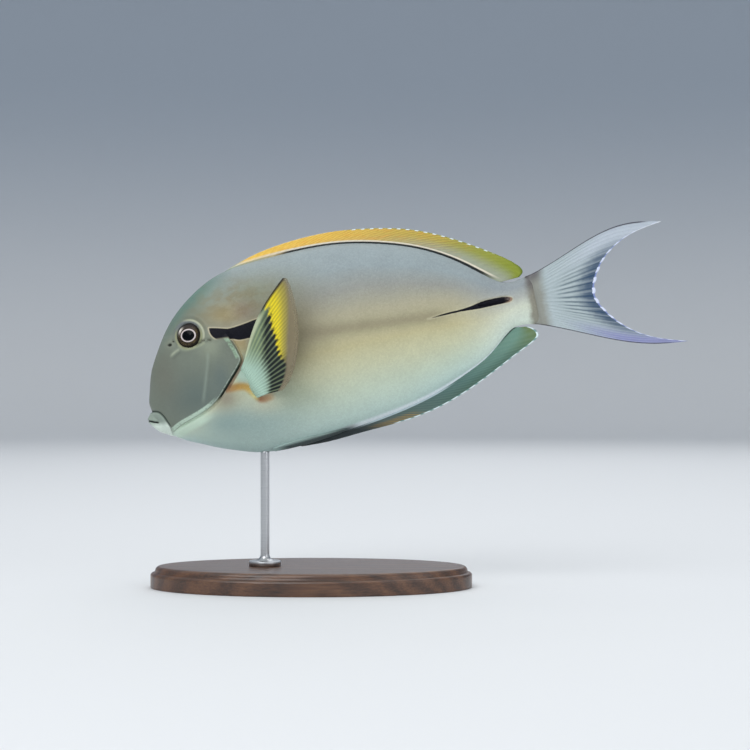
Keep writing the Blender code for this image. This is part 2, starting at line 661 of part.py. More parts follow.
def make_pelvic(model, parent, body):
    """The left pelvic fin, folded back flat along the belly beside the keel."""
    lengths = np.interp(
        np.linspace(0, 1, 2 * len(PELVIC_LENGTHS) + 1),
        (np.arange(len(PELVIC_LENGTHS)) + 0.5) / len(PELVIC_LENGTHS),
        PELVIC_LENGTHS,
    )
    share, on_ray = ray_columns(len(PELVIC_LENGTHS))
    out = np.linspace(0, 1, PELVIC_ROWS)[:, None]
    along = PELVIC_ROOT_ALONG + out * lengths
    width = PELVIC_WIDTH * (0.3 + 0.7 * np.sin(math.pi * np.minimum(1, 0.15 + out) * 0.62))
    up = belly_height(along) + PELVIC_LOW_EDGE + width * share
    half = MEMBRANE_HALF_THICKNESS + RAY_RIDGE * on_ray * (1 - 0.5 * out)
    half = half + (PELVIC_ROOT_HALF_THICKNESS - MEMBRANE_HALF_THICKNESS) * (1 - out) ** 4
    off = GAP + RAY_RIDGE + MEMBRANE_HALF_THICKNESS + 0.2 + 0.5 * out
    middle, normal = left_skin(along, up, off)
    sunk = middle[:1] + (middle[:1] - middle[1:2]) * 0.4
    sunk = sunk - normal[:1] * 2.5
    middle = np.concatenate([sunk, middle])
    normal = np.concatenate([normal[:1], normal])
    half = np.concatenate([half[:1], half])
    fin = blade("pelvic_fin_left", middle, normal, half, model, parent)
    boolean(fin, body)
    return keep_island(fin, lambda place: -place[1])


def make_scalpel(tail_stalk, model, cutters, parent):
    """The folded spine on the left of the tail stalk, and the groove it lies in."""
    root, tip = np.array(SCALPEL_ROOT), np.array(SCALPEL_TIP)
    count = 9

    def lancet(name, grow, collection):
        share = np.linspace(0, 1, count)
        line = root * (1 - share[:, None]) + tip * share[:, None]
        tall = SCALPEL_HALF_HEIGHT * np.sqrt(np.maximum(0.03, 1 - share**2)) * (
            np.minimum(1, 0.55 + 3 * share)
        )
        skin_points, normal = left_skin(line[:, 0], line[:, 1], off=SCALPEL_PROUD - SCALPEL_HALF_THICKNESS)
        columns = []
        for level in (-1, -0.5, 0, 0.5, 1):
            point = skin_points.copy()
            point[:, 2] += level * (tall + grow)
            point[:, 0] += grow * (1 - 2 * share)
            columns.append(point)
        middle = np.stack(columns, 1)
        thick = SCALPEL_HALF_THICKNESS * np.array([0.35, 0.85, 1, 0.85, 0.35]) + grow
        half = np.repeat(thick[None], count, axis=0) * (1 - 0.4 * share[:, None])
        across = np.repeat(normal[:, None], 5, axis=1)
        return blade(name, middle, across, half, collection, parent)

    groove = as_cutter(lancet("scalpel_groove", GAP, cutters))
    boolean(tail_stalk, groove)
    boolean(tail_stalk, as_cutter(mirrored(groove, "scalpel_groove_right", cutters)))
    left = lancet("scalpel_left", 0.0, model)
    return left, mirrored(left, "scalpel_right", model)


def make_stand(model, clearance):
    """An oval base and a turned rod that ends under the belly."""
    bpy.ops.mesh.primitive_cylinder_add(
        vertices=48, radius=0.5, depth=1.0, location=(*BASE_CENTRE, BASE_THICKNESS / 2)
    )
    base = bpy.context.object
    base.name = base.data.name = "stand_base"
    base.scale = (BASE_LENGTH, BASE_WIDTH, BASE_THICKNESS)
    bpy.ops.object.transform_apply(location=False, rotation=False, scale=True)
    edge = base.modifiers.new("rounded_edge", "BEVEL")
    edge.width = BASE_BEVEL
    edge.segments = 3
    edge.limit_method = "ANGLE"
    edge.angle_limit = math.radians(60)

    top = BELLY_HEIGHT + 0.010
    foot = BASE_THICKNESS + GAP * MM
    turns = np.linspace(0, math.pi / 2, 6)
    fillet = [
        (
            ROD_RADIUS + ROD_FOOT_FILLET * (1 - math.cos(t)),
            foot + ROD_FOOT_HEIGHT + ROD_FOOT_FILLET * (1 - math.sin(t)),
        )
        for t in turns
    ]
    profile = [
        (0.0, top),
        (ROD_RADIUS, top),
        *fillet,
        (ROD_FOOT_RADIUS - 0.0005, foot + ROD_FOOT_HEIGHT),
        (ROD_FOOT_RADIUS, foot + ROD_FOOT_HEIGHT - 0.0005),
        (ROD_FOOT_RADIUS, foot),
        (0.0, foot),
    ]
    mesh = bpy.data.meshes.new("stand_rod")
    edges = [(i, i + 1) for i in range(len(profile) - 1)]
    mesh.from_pydata([(x, 0.0, z) for x, z in profile], edges, [])
    rod = bpy.data.objects.new("stand_rod", mesh)
    rod.location = (ROD_X, 0.0, 0.0)
    model.objects.link(rod)
    turn = rod.modifiers.new("turned", "SCREW")
    turn.steps = turn.render_steps = ROUND_STEPS
    turn.use_merge_vertices = True
    turn.merge_threshold = 0.0001
    turn.use_smooth_shade = True
    boolean(rod, clearance)
    for owner in base.users_collection:
        owner.objects.unlink(base)
    model.objects.link(base)
    return base, rod


def main():
    for thing in list(bpy.data.objects):
        bpy.data.objects.remove(thing)
    model = bpy.data.collections.new("epaulette_surgeonfish")
    cutters = bpy.data.collections.new("cutters")
    for collection in (model, cutters):
        bpy.context.scene.collection.children.link(collection)
    pose = bpy.data.objects.new("swimming_pose", None)
    pose.location = AXIS_ORIGIN
    pose.rotation_euler = (0.0, -PITCH, 0.0)
    model.objects.link(pose)
    bpy.context.view_layer.update()

    head, upper_jaw, lower_jaw, cover_left, cover_right, trunk, stalk = make_flesh(
        model, cutters, pose
    )
    eye_left, eye_right = make_face(head, model, cutters, pose)
    scalpel_left, scalpel_right = make_scalpel(stalk, model, cutters, pose)
    clearance = as_cutter(body_loft("body_clearance", cutters, pose, swell=GAP))
    dorsal = make_median_fin(
        "dorsal_fin", DORSAL_ROOT, 1, back_height, DORSAL_MARGIN, DORSAL_SPINES,
        DORSAL_RAYS, model, pose,
    )
    anal = make_median_fin(
        "anal_fin", ANAL_ROOT, -1, belly_height, ANAL_MARGIN, ANAL_SPINES, ANAL_RAYS,
        model, pose,
    )
    upper_lobe = make_tail_lobe("caudal_fin_upper", 1, UPPER_LOBE_BOW, model, pose)
    lower_lobe = make_tail_lobe("caudal_fin_lower", -1, LOWER_LOBE_BOW, model, pose)
    pectoral = make_pectoral(model, cutters, pose, clearance)
    pectoral_right = mirrored(pectoral, "pectoral_fin_right", model)
    pelvic = make_pelvic(model, pose, clearance)
    pelvic_right = mirrored(pelvic, "pelvic_fin_right", model)
    base, rod = make_stand(model, clearance)

    for piece, colour, roughness in (
        (head, (0.20, 0.22, 0.17), 0.45),
        (upper_jaw, (0.34, 0.38, 0.32), 0.4),
        (lower_jaw, (0.36, 0.46, 0.42), 0.4),
        (cover_left, (0.16, 0.20, 0.18), 0.45),
        (cover_right, (0.16, 0.20, 0.18), 0.45),
        (trunk, (0.42, 0.42, 0.31), 0.45),
        (stalk, (0.60, 0.63, 0.55), 0.45),
        (eye_left, (0.02, 0.02, 0.03), 0.05),
        (eye_right, (0.02, 0.02, 0.03), 0.05),
        (scalpel_left, (0.02, 0.02, 0.03), 0.35),
        (scalpel_right, (0.02, 0.02, 0.03), 0.35),
        (dorsal, (0.72, 0.50, 0.09), 0.5),
        (anal, (0.10, 0.18, 0.15), 0.5),
        (upper_lobe, (0.42, 0.48, 0.55), 0.5),
        (lower_lobe, (0.34, 0.36, 0.58), 0.5),
        (pectoral, (0.70, 0.62, 0.08), 0.5),
        (pectoral_right, (0.70, 0.62, 0.08), 0.5),
        (pelvic, (0.16, 0.22, 0.22), 0.5),
        (pelvic_right, (0.16, 0.22, 0.22), 0.5),
        (base, (0.045, 0.028, 0.018), 0.4),
    ):
        finish(piece, colour, roughness)
    finish(rod, (0.62, 0.62, 0.63), 0.3, 1.0)


main()
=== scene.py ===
"""Museum model of an epaulette surgeonfish on its stand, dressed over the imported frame.

The fish's sizes are in millimetres in its own frame: along runs from the snout to the
tail on the body's axis, across is towards its right and up is square to both. Pose
turns them into the model's metres, with the fish tipped head down as it swims.
"""

import logging
import math
from dataclasses import dataclass, field
from enum import Enum
from functools import cached_property

import bpy
import numpy as np
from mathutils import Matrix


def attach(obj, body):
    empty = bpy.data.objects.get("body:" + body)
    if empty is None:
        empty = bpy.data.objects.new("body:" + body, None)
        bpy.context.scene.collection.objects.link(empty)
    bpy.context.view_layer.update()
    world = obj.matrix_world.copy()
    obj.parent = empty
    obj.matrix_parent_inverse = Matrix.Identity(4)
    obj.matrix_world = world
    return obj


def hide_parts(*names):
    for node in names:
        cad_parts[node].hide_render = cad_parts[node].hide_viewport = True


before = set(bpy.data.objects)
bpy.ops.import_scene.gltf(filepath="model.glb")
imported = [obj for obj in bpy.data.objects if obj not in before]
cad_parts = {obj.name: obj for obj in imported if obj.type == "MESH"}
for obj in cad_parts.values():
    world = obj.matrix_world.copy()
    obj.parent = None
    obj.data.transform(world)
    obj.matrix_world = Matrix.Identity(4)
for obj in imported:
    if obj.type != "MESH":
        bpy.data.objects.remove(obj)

LOG = logging.getLogger("surgeonfish")
MM = 0.001
BODY = "root"
EYE = (24.8, 6.4)
TURN = 2 * math.pi

Array = np.ndarray
Tone = tuple[int, int, int]
Colour = tuple[float, float, float, float]
Pair = tuple[float, float]
Line = tuple[Pair, ...]
Cloud = tuple[Pair, Pair, float, Tone]


class Side(Enum):
    """A flank of the fish, as the sign of its across axis."""

    LEFT = -1
    RIGHT = 1

    @property
    def word(self) -> str:
        """The side as the nodes' names spell it."""
        return self.name.lower()


def paint(tone: Tone) -> Colour:
    """Turns a screen colour of 0 to 255 into the linear one that shaders use."""
    screen = np.array(tone) / 255
    linear = np.where(screen <= 0.04045, screen / 12.92, ((screen + 0.055) / 1.055) ** 2.4)
    return (*linear.tolist(), 1.0)


def spline(knots: Array, values: Array, at: Array) -> Array:
    """Reads a natural cubic spline: straight at both ends, smooth in between.

    Args:
        knots: Places of the values, rising.
        values: One row for each knot.
        at: Places to read.

    Returns:
        One row for each place read.
    """
    step = np.diff(knots)
    slope = np.diff(values, axis=0) / step[:, None]
    inner = np.arange(1, len(knots) - 1)
    system = np.eye(len(knots))
    system[inner, inner - 1] = step[:-1]
    system[inner, inner] = 2 * (step[:-1] + step[1:])
    system[inner, inner + 1] = step[1:]
    target = np.zeros_like(values)
    target[inner] = 6 * np.diff(slope, axis=0)
    bend = np.linalg.solve(system, target)
    k = np.clip(np.searchsorted(knots, at, side="right") - 1, 0, len(knots) - 2)
    past = (at - knots[k])[:, None]
    width = step[k][:, None]
    start = slope[k] - width * (2 * bend[k] + bend[k + 1]) / 6
    return values[k] + past * start + past**2 * bend[k] / 2 + past**3 * (bend[k + 1] - bend[k]) / (6 * width)


def smooth_curve(points: Line, share: Array) -> Array:
    """Points at shares of the length of a smooth curve through some points.

    Args:
        points: The curve's own points, (along, up).
        share: Shares of its length, from 0 to 1.

    Returns:
        One (along, up) row for each share.
    """
    through = np.asarray(points, float)
    chords = np.linalg.norm(np.diff(through, axis=0), axis=1)
    knots = np.concatenate([[0.0], np.cumsum(np.sqrt(chords))])
    fine = spline(knots, through, np.linspace(0, knots[-1], 40 * len(through)))
    run = np.concatenate([[0.0], np.cumsum(np.linalg.norm(np.diff(fine, axis=0), axis=1))])
    at = np.asarray(share, float) * run[-1]
    return np.stack([np.interp(at, run, fine[:, 0]), np.interp(at, run, fine[:, 1])], -1)


def smooth_step(value: Array, low: float, high: float) -> Array:
    """Rises smoothly from 0 at low to 1 at high, as 3t^2 - 2t^3; falls if high < low."""
    t = np.clip((value - low) / (high - low), 0, 1)
    return t * t * (3 - 2 * t)


def fading(run: Array, start: float, stop: float) -> Array:
    """1 along a line, but rising from 0 until start and falling to 0 from stop on."""
    return smooth_step(run, 0.0, start) * smooth_step(run, 1.0, stop)


def bell(value: Array, width: float) -> Array:
    """A bell of height 1 at 0: e to the power of minus (value / width) squared."""
    return np.exp(-((value / width) ** 2))


def around_line(places: Array, line: Array, reach: float) -> Array:
    """Tells which points lie in a line's box, widened by reach."""
    return np.all((places > line.min(0) - reach) & (places < line.max(0) + reach), axis=1)


def line_distance(places: Array, points: Line, reach: float) -> tuple[Array, Array]:
    """Signed distances to a smooth line, seen from the side.

    The nearest of 300 places on the line is taken, or of 25 far from it, and the sign
    is that of the cross product of the line's direction and the way from it to the
    point: positive to the tail of a line that runs downwards.

    Args:
        places: Points as (along, up) rows.
        points: The line's own points.
        reach: Distances beyond this read as this.

    Returns:
        The signed distance of each point, and the share of the line where it is nearest.
    """
    line = smooth_curve(points, np.linspace(0, 1, 300))
    way = np.gradient(line, axis=0)
    way /= np.linalg.norm(way, axis=1, keepdims=True)
    near = around_line(places, line, reach)
    distance, share = np.zeros((2, len(places)))
    for chosen, picks in ((~near, np.linspace(0, 299, 25).astype(int)), (near, np.arange(300))):
        chosen = np.nonzero(chosen)[0]
        for block in np.array_split(chosen, max(1, len(chosen) * len(picks) // 2000000)):
            away = places[block, None] - line[picks]
            span = np.hypot(away[..., 0], away[..., 1])
            nearest = span.argmin(1)
            gap = away[np.arange(len(block)), nearest]
            place = picks[nearest]
            turn = way[place, 0] * gap[:, 1] - way[place, 1] * gap[:, 0]
            distance[block] = np.minimum(span.min(1), reach) * np.where(turn < 0, -1, 1)
            share[block] = place / 299
    return distance, share


def patch_distance(places: Array, points: Line, reach: float) -> Array:
    """Distances to the edge of a patch seen from the side, negative inside it.

    Args:
        places: Points as (along, up) rows.
        points: Points round the patch, with the first one given again at the end.
        reach: Distances beyond this read as this.

    Returns:
        The signed distance of each point.
    """
    edge = smooth_curve(points, np.linspace(0, 1, 260))
    distance = np.full(len(places), float(reach))
    chosen = np.nonzero(around_line(places, edge, reach))[0]
    start, end = edge[:-1], edge[1:]
    rise = end[:, 1] - start[:, 1]
    rise = np.where(np.abs(rise) < 1e-9, 1e-9, rise)
    for block in np.array_split(chosen, max(1, len(chosen) // 6000)):
        point = places[block, None]
        away = np.hypot(*(point - edge).transpose(2, 0, 1)).min(1)
        over = (start[:, 1] > point[..., 1]) != (end[:, 1] > point[..., 1])
        cross = start[:, 0] + (point[..., 1] - start[:, 1]) * (end[:, 0] - start[:, 0]) / rise
        inside = np.sum(over & (point[..., 0] < cross), axis=1) % 2 == 1
        distance[block] = np.where(inside, -away, np.minimum(away, reach))
    return distance


@dataclass(frozen=True)
class Pose:
    """How the fish hangs in the model: tipped about its snout end."""

    pitch: float = math.radians(7.8)
    snout: tuple[float, float, float] = (-0.1512, 0.0, 0.1308)

    def place(self, points: Array) -> Array:
        """Turns points whose last axis is (along, across, up) into the model's metres."""
        cos, sin = math.cos(self.pitch), math.sin(self.pitch)
        along, across, up = np.moveaxis(points * MM, -1, 0)
        x = self.snout[0] + along * cos - up * sin
        z = self.snout[2] + along * sin + up * cos
        return np.stack([x, self.snout[1] + across, z], -1)


POSE = Pose()


@dataclass
class Surface:
    """Points and faces on their way to a mesh, with what each vertex carries.

    faces holds arrays of vertex indices, three or four to a row, and unwrap the place
    of each of those corners on the piece's flat unwrap.
    """

    points: Array
    faces: list[Array]
    unwrap: list[Array]
    values: dict[str, Array] = field(default_factory=dict)

    def turned(self, factors: tuple[int, int, int] = (1, 1, 1)) -> "Surface":
        """Gives the surface with its axes times some factors and its faces turned over."""
        faces, unwrap = ([rows[:, ::-1] for rows in kind] for kind in (self.faces, self.unwrap))
        return Surface(self.points * factors, faces, unwrap, self.values)

    def facing_out(self) -> "Surface":
        """Turns the faces over if their volume, the sum of a . (b x c) / 6, is negative."""
        volume = sum(
            np.einsum("ij,ij->", corner[:, 0], np.cross(corner[:, k], corner[:, k + 1]))
            for corner in (self.points[rows] for rows in self.faces)
            for k in range(1, corner.shape[1] - 1)
        )
        return self.turned() if volume < 0 else self

    def build(
        self, name: str, material: bpy.types.Material, nodes: tuple[str, ...], slot: str,
        side: Side = Side.LEFT, pose: Pose | None = POSE,
    ) -> bpy.types.Object:
        """Makes the piece, at the origin and riding on the model's one body.

        Args:
            name: The piece's name.
            material: Its finish.
            nodes: The solids that it stands for.
            slot: The surface that it shows; not used.
            side: The flank that it belongs on; the surface itself is the left one.
            pose: Turns millimetres of the fish into metres; None for metres already.

        Returns:
            The piece.
        """
        if side is Side.RIGHT:
            return self.turned((1, -1, 1)).build(name, material, nodes, slot, Side.LEFT, pose)
        mesh = bpy.data.meshes.new(name)
        points = pose.place(self.points) if pose else self.points
        mesh.from_pydata(points.tolist(), [], [row for rows in self.faces for row in rows.tolist()])
        corners = np.concatenate([rows.reshape(-1, 2) for rows in self.unwrap])
        mesh.uv_layers.new(name="OFBake").data.foreach_set("uv", corners.ravel())
        for key, value in self.values.items():
            attribute = mesh.attributes.new(key, "FLOAT", "POINT")
            attribute.data.foreach_set("value", np.asarray(value, float).ravel())
        mesh.shade_smooth()
        mesh.materials.append(material)
        piece = bpy.data.objects.new(name, mesh)
        bpy.context.scene.collection.objects.link(piece)
        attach(piece, BODY)
        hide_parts(*nodes)
        LOG.info("%s: %d faces", name, len(mesh.polygons))
        return piece


def quads(rows: int, columns: int, wrap: bool) -> Array:
    """Faces of a grid of points, its last column joined to the first if it wraps."""
    row = np.arange(rows - 1)[:, None, None] + [0, 1, 1, 0]
    column = np.arange(columns if wrap else columns - 1)[:, None] + [0, 0, 1, 1]
    return (row * columns + column % columns).reshape(-1, 4)


def tube(points: Array, values: dict[str, Array] | None = None, spread: Array | None = None) -> Surface:
    """A closed surface from rings of points, with a fan at each end.

    Args:
        points: Rings, then points round each ring, then (along, across, up).
        values: What the vertices carry, as grids.
        spread: Share of the unwrap's height that each point round a ring takes, with one
            more entry for the ring's closing; even if None.

    Returns:
        The surface, with its two poles at the middles of the end rings.
    """
    rows, columns = points.shape[:2]
    spread = np.linspace(0.01, 0.99, columns + 1) if spread is None else spread
    faces = quads(rows, columns, wrap=True)
    high = spread[faces[:, :1] % columns + [0, 0, 1, 1]]
    unwrap = [np.stack([0.01 + 0.98 * (faces // columns) / (rows - 1), high], -1)]
    ring = np.arange(columns)
    after = (ring + 1) % columns
    last = (rows - 1) * columns
    pole = np.full(columns, rows * columns)
    start = np.stack([pole, ring, after], -1)
    end = np.stack([pole + 1, last + after, last + ring], -1)
    for u in (0.005, 0.995):
        unwrap.append(np.stack([np.full((columns, 3), u), np.tile(spread[:-1, None], 3)], -1))
    carried = {
        key: np.concatenate([grid.ravel(), grid[[0, -1]].mean(1)])
        for key, grid in (values or {}).items()
    }
    closed = np.concatenate([points.reshape(-1, 3), points[[0, -1]].mean(1)])
    return Surface(closed, [faces, start, end], unwrap, carried).facing_out()


def blade(middle: Array, normal: Array, half: Array, values: dict[str, Array]) -> Surface:
    """A fin: two sheets, half a thickness either side of a middle one, and their rim.

    Args:
        middle: Rows from the root out, then points along the row, then coordinates.
        normal: Unit normals of the middle sheet.
        half: Half thicknesses.
        values: What the vertices carry, as grids.

    Returns:
        The closed surface, whose unwrap has the two sheets side by side.
    """
    rows, columns = half.shape
    count = rows * columns
    offset = normal * half[..., None]
    points = np.concatenate([(middle + offset).reshape(-1, 3), (middle - offset).reshape(-1, 3)])
    grid = np.arange(count).reshape(rows, columns)
    flat = np.stack([(grid % columns) / (columns - 1), (grid // columns) / (rows - 1)], -1)
    flat = (flat * [0.98, 0.47] + 0.01).reshape(-1, 2)
    edge = np.concatenate([grid[0], grid[1:, -1], grid[-1, -2::-1], grid[-2:0:-1, 0]])
    ahead = np.roll(edge, -1)
    rim = np.stack([edge, ahead, ahead + count, edge + count], -1)
    near = quads(rows, columns, wrap=False)
    far = near[:, ::-1]
    unwrap = [flat[near], flat[far] + [0, 0.5], flat[rim % count]]
    carried = {key: np.tile(value.ravel(), 2) for key, value in values.items()}
    return Surface(points, [near, far + count, rim], unwrap, carried).facing_out()


@dataclass(eq=False)
class Wire:
    """An output socket, so that shader maths reads as Python expressions."""

    recipe: "Recipe"
    socket: bpy.types.NodeSocket

    def math(self, operation: str, *others: "Wire | float") -> "Wire":
        """Adds a Math node that takes this value and others, in that order."""
        return self.recipe.math(operation, self, *others)

    def __add__(self, other: "Wire | float") -> "Wire":
        """This plus other."""
        return self.math("ADD", other)

    __radd__ = __add__

    def __sub__(self, other: "Wire | float") -> "Wire":
        """This minus other."""
        return self.math("SUBTRACT", other)

    def __rsub__(self, other: float) -> "Wire":
        """Other minus this."""
        return self.recipe.math("SUBTRACT", other, self)

    def __mul__(self, other: "Wire | float") -> "Wire":
        """This times other."""
        return self.math("MULTIPLY", other)

    def __truediv__(self, other: "Wire | float") -> "Wire":
        """This over other."""
        return self.math("DIVIDE", other)

    def size(self) -> "Wire":
        """This without its sign."""
        return self.math("ABSOLUTE")

    def bell(self) -> "Wire":
        """This, already squared, as a bell: e to the power of minus it."""
        return (self * -1.0).math("EXPONENT")

    def wave(self) -> "Wire":
        """Goes from 0 at each whole number to 1 halfway: (1 - cos(2 pi x)) / 2."""
        return 0.5 - (self * TURN).math("COSINE") * 0.5

    def rises(self, low: float, high: float) -> "Wire":
        """0 below low and 1 above high, smooth between."""
        inputs = {"Value": self, "From Min": low, "From Max": high}
        return self.recipe.wire("ShaderNodeMapRange", {"interpolation_type": "SMOOTHSTEP"}, inputs)

    def falls(self, low: float, high: float) -> "Wire":
        """1 below low and 0 above high, smooth between."""
        return 1.0 - self.rises(low, high)

    def within(self, low: float, high: float, soft: float) -> "Wire":
        """1 between low and high, and 0 beyond a soft edge of the given width."""
        return self.rises(low - soft, low) * self.falls(high, high + soft)


class Recipe:
    """A material's nodes, made by one method for each kind of thing."""

    def __init__(self, name: str) -> None:
        """Starts a material with its Principled shader."""
        self.material = bpy.data.materials.new(name)
        self.material.use_nodes = True
        self.tree = self.material.node_tree
        self.shader = self.tree.nodes["Principled BSDF"]

    def feed(self, socket: bpy.types.NodeSocket, value: object) -> None:
        """Links a wire to a socket, or sets a plain value on it."""
        if isinstance(value, Wire):
            self.tree.links.new(value.socket, socket)
        else:
            socket.default_value = value

    def node(self, kind: str, settings: dict | None = None, inputs: dict | None = None) -> bpy.types.Node:
        """Adds a node of any kind.

        Args:
            kind: The node's type.
            settings: Its properties, which are set first. stops are a ramp's (place, tone).
            inputs: Values or wires for its sockets, by name or number.

        Returns:
            The node.
        """
        made = self.tree.nodes.new(kind)
        for key, value in (settings or {}).items():
            if key == "stops":
                elements = made.color_ramp.elements
                for _ in value[2:]:
                    elements.new(0.5)
                for element, (place, tone) in zip(elements, value):
                    element.position, element.color = place, paint(tone)
            else:
                setattr(made, key, value)
        for key, value in (inputs or {}).items():
            self.feed(made.inputs[key], value)
        return made

    def wire(
        self, kind: str, settings: dict | None = None, inputs: dict | None = None, output: int | str = 0
    ) -> Wire:
        """Adds a node, as node() does, and gives one of its outputs."""
        return Wire(self, self.node(kind, settings, inputs).outputs[output])

    def math(self, operation: str, *values: "Wire | float") -> Wire:
        """Adds a Math node on values and gives its result."""
        return self.wire("ShaderNodeMath", {"operation": operation}, dict(enumerate(values)))

    def attribute(self, name: str) -> Wire:
        """Reads a number that the mesh's vertices carry."""
        return self.wire("ShaderNodeAttribute", {"attribute_name": name}, output="Fac")

    def object_place(self) -> Wire:
        """The surface's own place, in the model's metres."""
        return self.wire("ShaderNodeTexCoord", output="Object")

    @cached_property
    def place(self) -> Wire:
        """The surface's place as (along, across, up) in the fish's millimetres."""
        turn = {"Location": POSE.snout, "Rotation": (0.0, -POSE.pitch, 0.0), "Scale": (MM, MM, MM)}
        inputs = {"Vector": self.object_place(), **turn}
        return self.wire("ShaderNodeMapping", {"vector_type": "TEXTURE"}, inputs)

    @cached_property
    def seen(self) -> tuple[Wire, Wire]:
        """The place seen from the fish's side, as along and up."""
        return self.parts(self.place)[::2]

    def spot(self, centre: Pair, radii: Pair) -> Wire:
        """A soft oval patch: 1 in its middle, and e to the minus 1 at its radii."""
        a, u = ((way - c) * (1.0 / r) for way, c, r in zip(self.seen, centre, radii))
        return (a * a + u * u).bell()

    def scaled(self, vector: Wire, factors: tuple[float, float, float]) -> Wire:
        """A vector times a factor for each axis."""
        return self.wire("ShaderNodeVectorMath", {"operation": "MULTIPLY"}, {0: vector, 1: factors})

    def parts(self, vector: Wire) -> tuple[Wire, ...]:
        """The three numbers of a vector."""
        split = self.node("ShaderNodeSeparateXYZ", None, {0: vector})
        return tuple(Wire(self, socket) for socket in split.outputs)

    def noise(self, vector: Wire, scale: float, detail: float = 2.0) -> Wire:
        """Soft noise of about 0 to 1, with so many lumps to a unit of the vector."""
        return self.wire("ShaderNodeTexNoise", None, {"Vector": vector, "Scale": scale, "Detail": detail})

    def cells(self, vector: Wire, scale: float) -> tuple[Wire, Wire]:
        """Distance to the middle of a random cell, and a number of the cell's own."""
        made = self.node("ShaderNodeTexVoronoi", None, {"Vector": vector, "Scale": scale})
        own = self.wire("ShaderNodeSeparateColor", None, {0: Wire(self, made.outputs["Color"])})
        return Wire(self, made.outputs["Distance"]), own

    def ramp(self, value: Wire, *stops: tuple[float, Tone]) -> Wire:
        """A colour that changes with a value, through (place, tone) stops."""
        return self.wire("ShaderNodeValToRGB", {"stops": stops}, {0: value})

    def mix(self, mask: "Wire | float", below: "Wire | Tone", above: "Wire | Tone") -> Wire:
        """Lays a colour over another one where a mask is 1."""
        below, above = (c if isinstance(c, Wire) else paint(c) for c in (below, above))
        settings = {"data_type": "RGBA", "clamp_factor": True}
        return self.wire("ShaderNodeMix", settings, {0: mask, 6: below, 7: above}, 2)

    def coats(self, colour: "Wire | Tone", *coats: tuple[Wire, "Wire | Tone"]) -> Wire:
        """Lays coats over a colour, one after another, each as its mask and its tone."""
        for mask, tone in coats:
            colour = self.mix(mask, colour, tone)
        return colour

    def clouds(self, colour: "Wire | Tone", *clouds: Cloud) -> Wire:
        """Lays soft ovals over a colour, each as centre, radii, strength and tone."""
        return self.coats(colour, *((self.spot(c, radii) * k, tone) for c, radii, k, tone in clouds))

    def tinted(self, colour: Wire, factor: Wire) -> Wire:
        """A colour made lighter or darker by a factor."""
        return self.wire("ShaderNodeVectorMath", {"operation": "SCALE"}, {0: colour, "Scale": factor})

    def bump(self, height: Wire, depth: float, strength: float = 1.0) -> Wire:
        """A normal pushed about by a height of the given depth in metres."""
        return self.wire("ShaderNodeBump", None, {"Height": height, "Distance": depth, "Strength": strength})

    def finish(self, **sockets: object) -> bpy.types.Material:
        """Feeds the shader's sockets, named with _ for a space, and gives the material."""
        for key, value in sockets.items():
            self.feed(self.shader.inputs[key.replace("_", " ")], value)
        return self.material


class FinRecipe(Recipe):
    """A fin's material, with what its vertices carry and the grain that fins share."""

    def __init__(self, name: str, rays: float = 1.0) -> None:
        """Reads the place among the rays, between root and margin, and along the fin."""
        super().__init__(name)
        self.ray, self.out, self.rise, self.margin = map(self.attribute, ("ray", "out", "rise", "margin"))
        self.run = self.ray / rays

    def grained(
        self, colour: Wire, ridges: Wire, lumps: float = 1.2, contrast: float = 0.16,
        roughness: float = 0.45, depth: float = 0.00012, strength: float = 0.5, **sockets: object,
    ) -> bpy.types.Material:
        """Adds a fine grain and ridges that grow from the root out.

        Args:
            colour: The fin's colour.
            ridges: Height of its ridges.
            lumps: Lumps of the grain to a millimetre.
            contrast: How much the grain lightens and darkens.
            roughness: The fin's middle roughness.
            depth, strength: Those of the bump, the depth in metres.
            sockets: More of the shader's sockets.

        Returns:
            The material.
        """
        grain = self.noise(self.place, lumps, 3.0) - 0.5
        return self.finish(
            Base_Color=self.tinted(colour, 1.0 + grain * contrast), Roughness=roughness + grain * 0.1,
            Normal=self.bump(ridges * self.out + grain * 0.5, depth, strength), **sockets,
        )


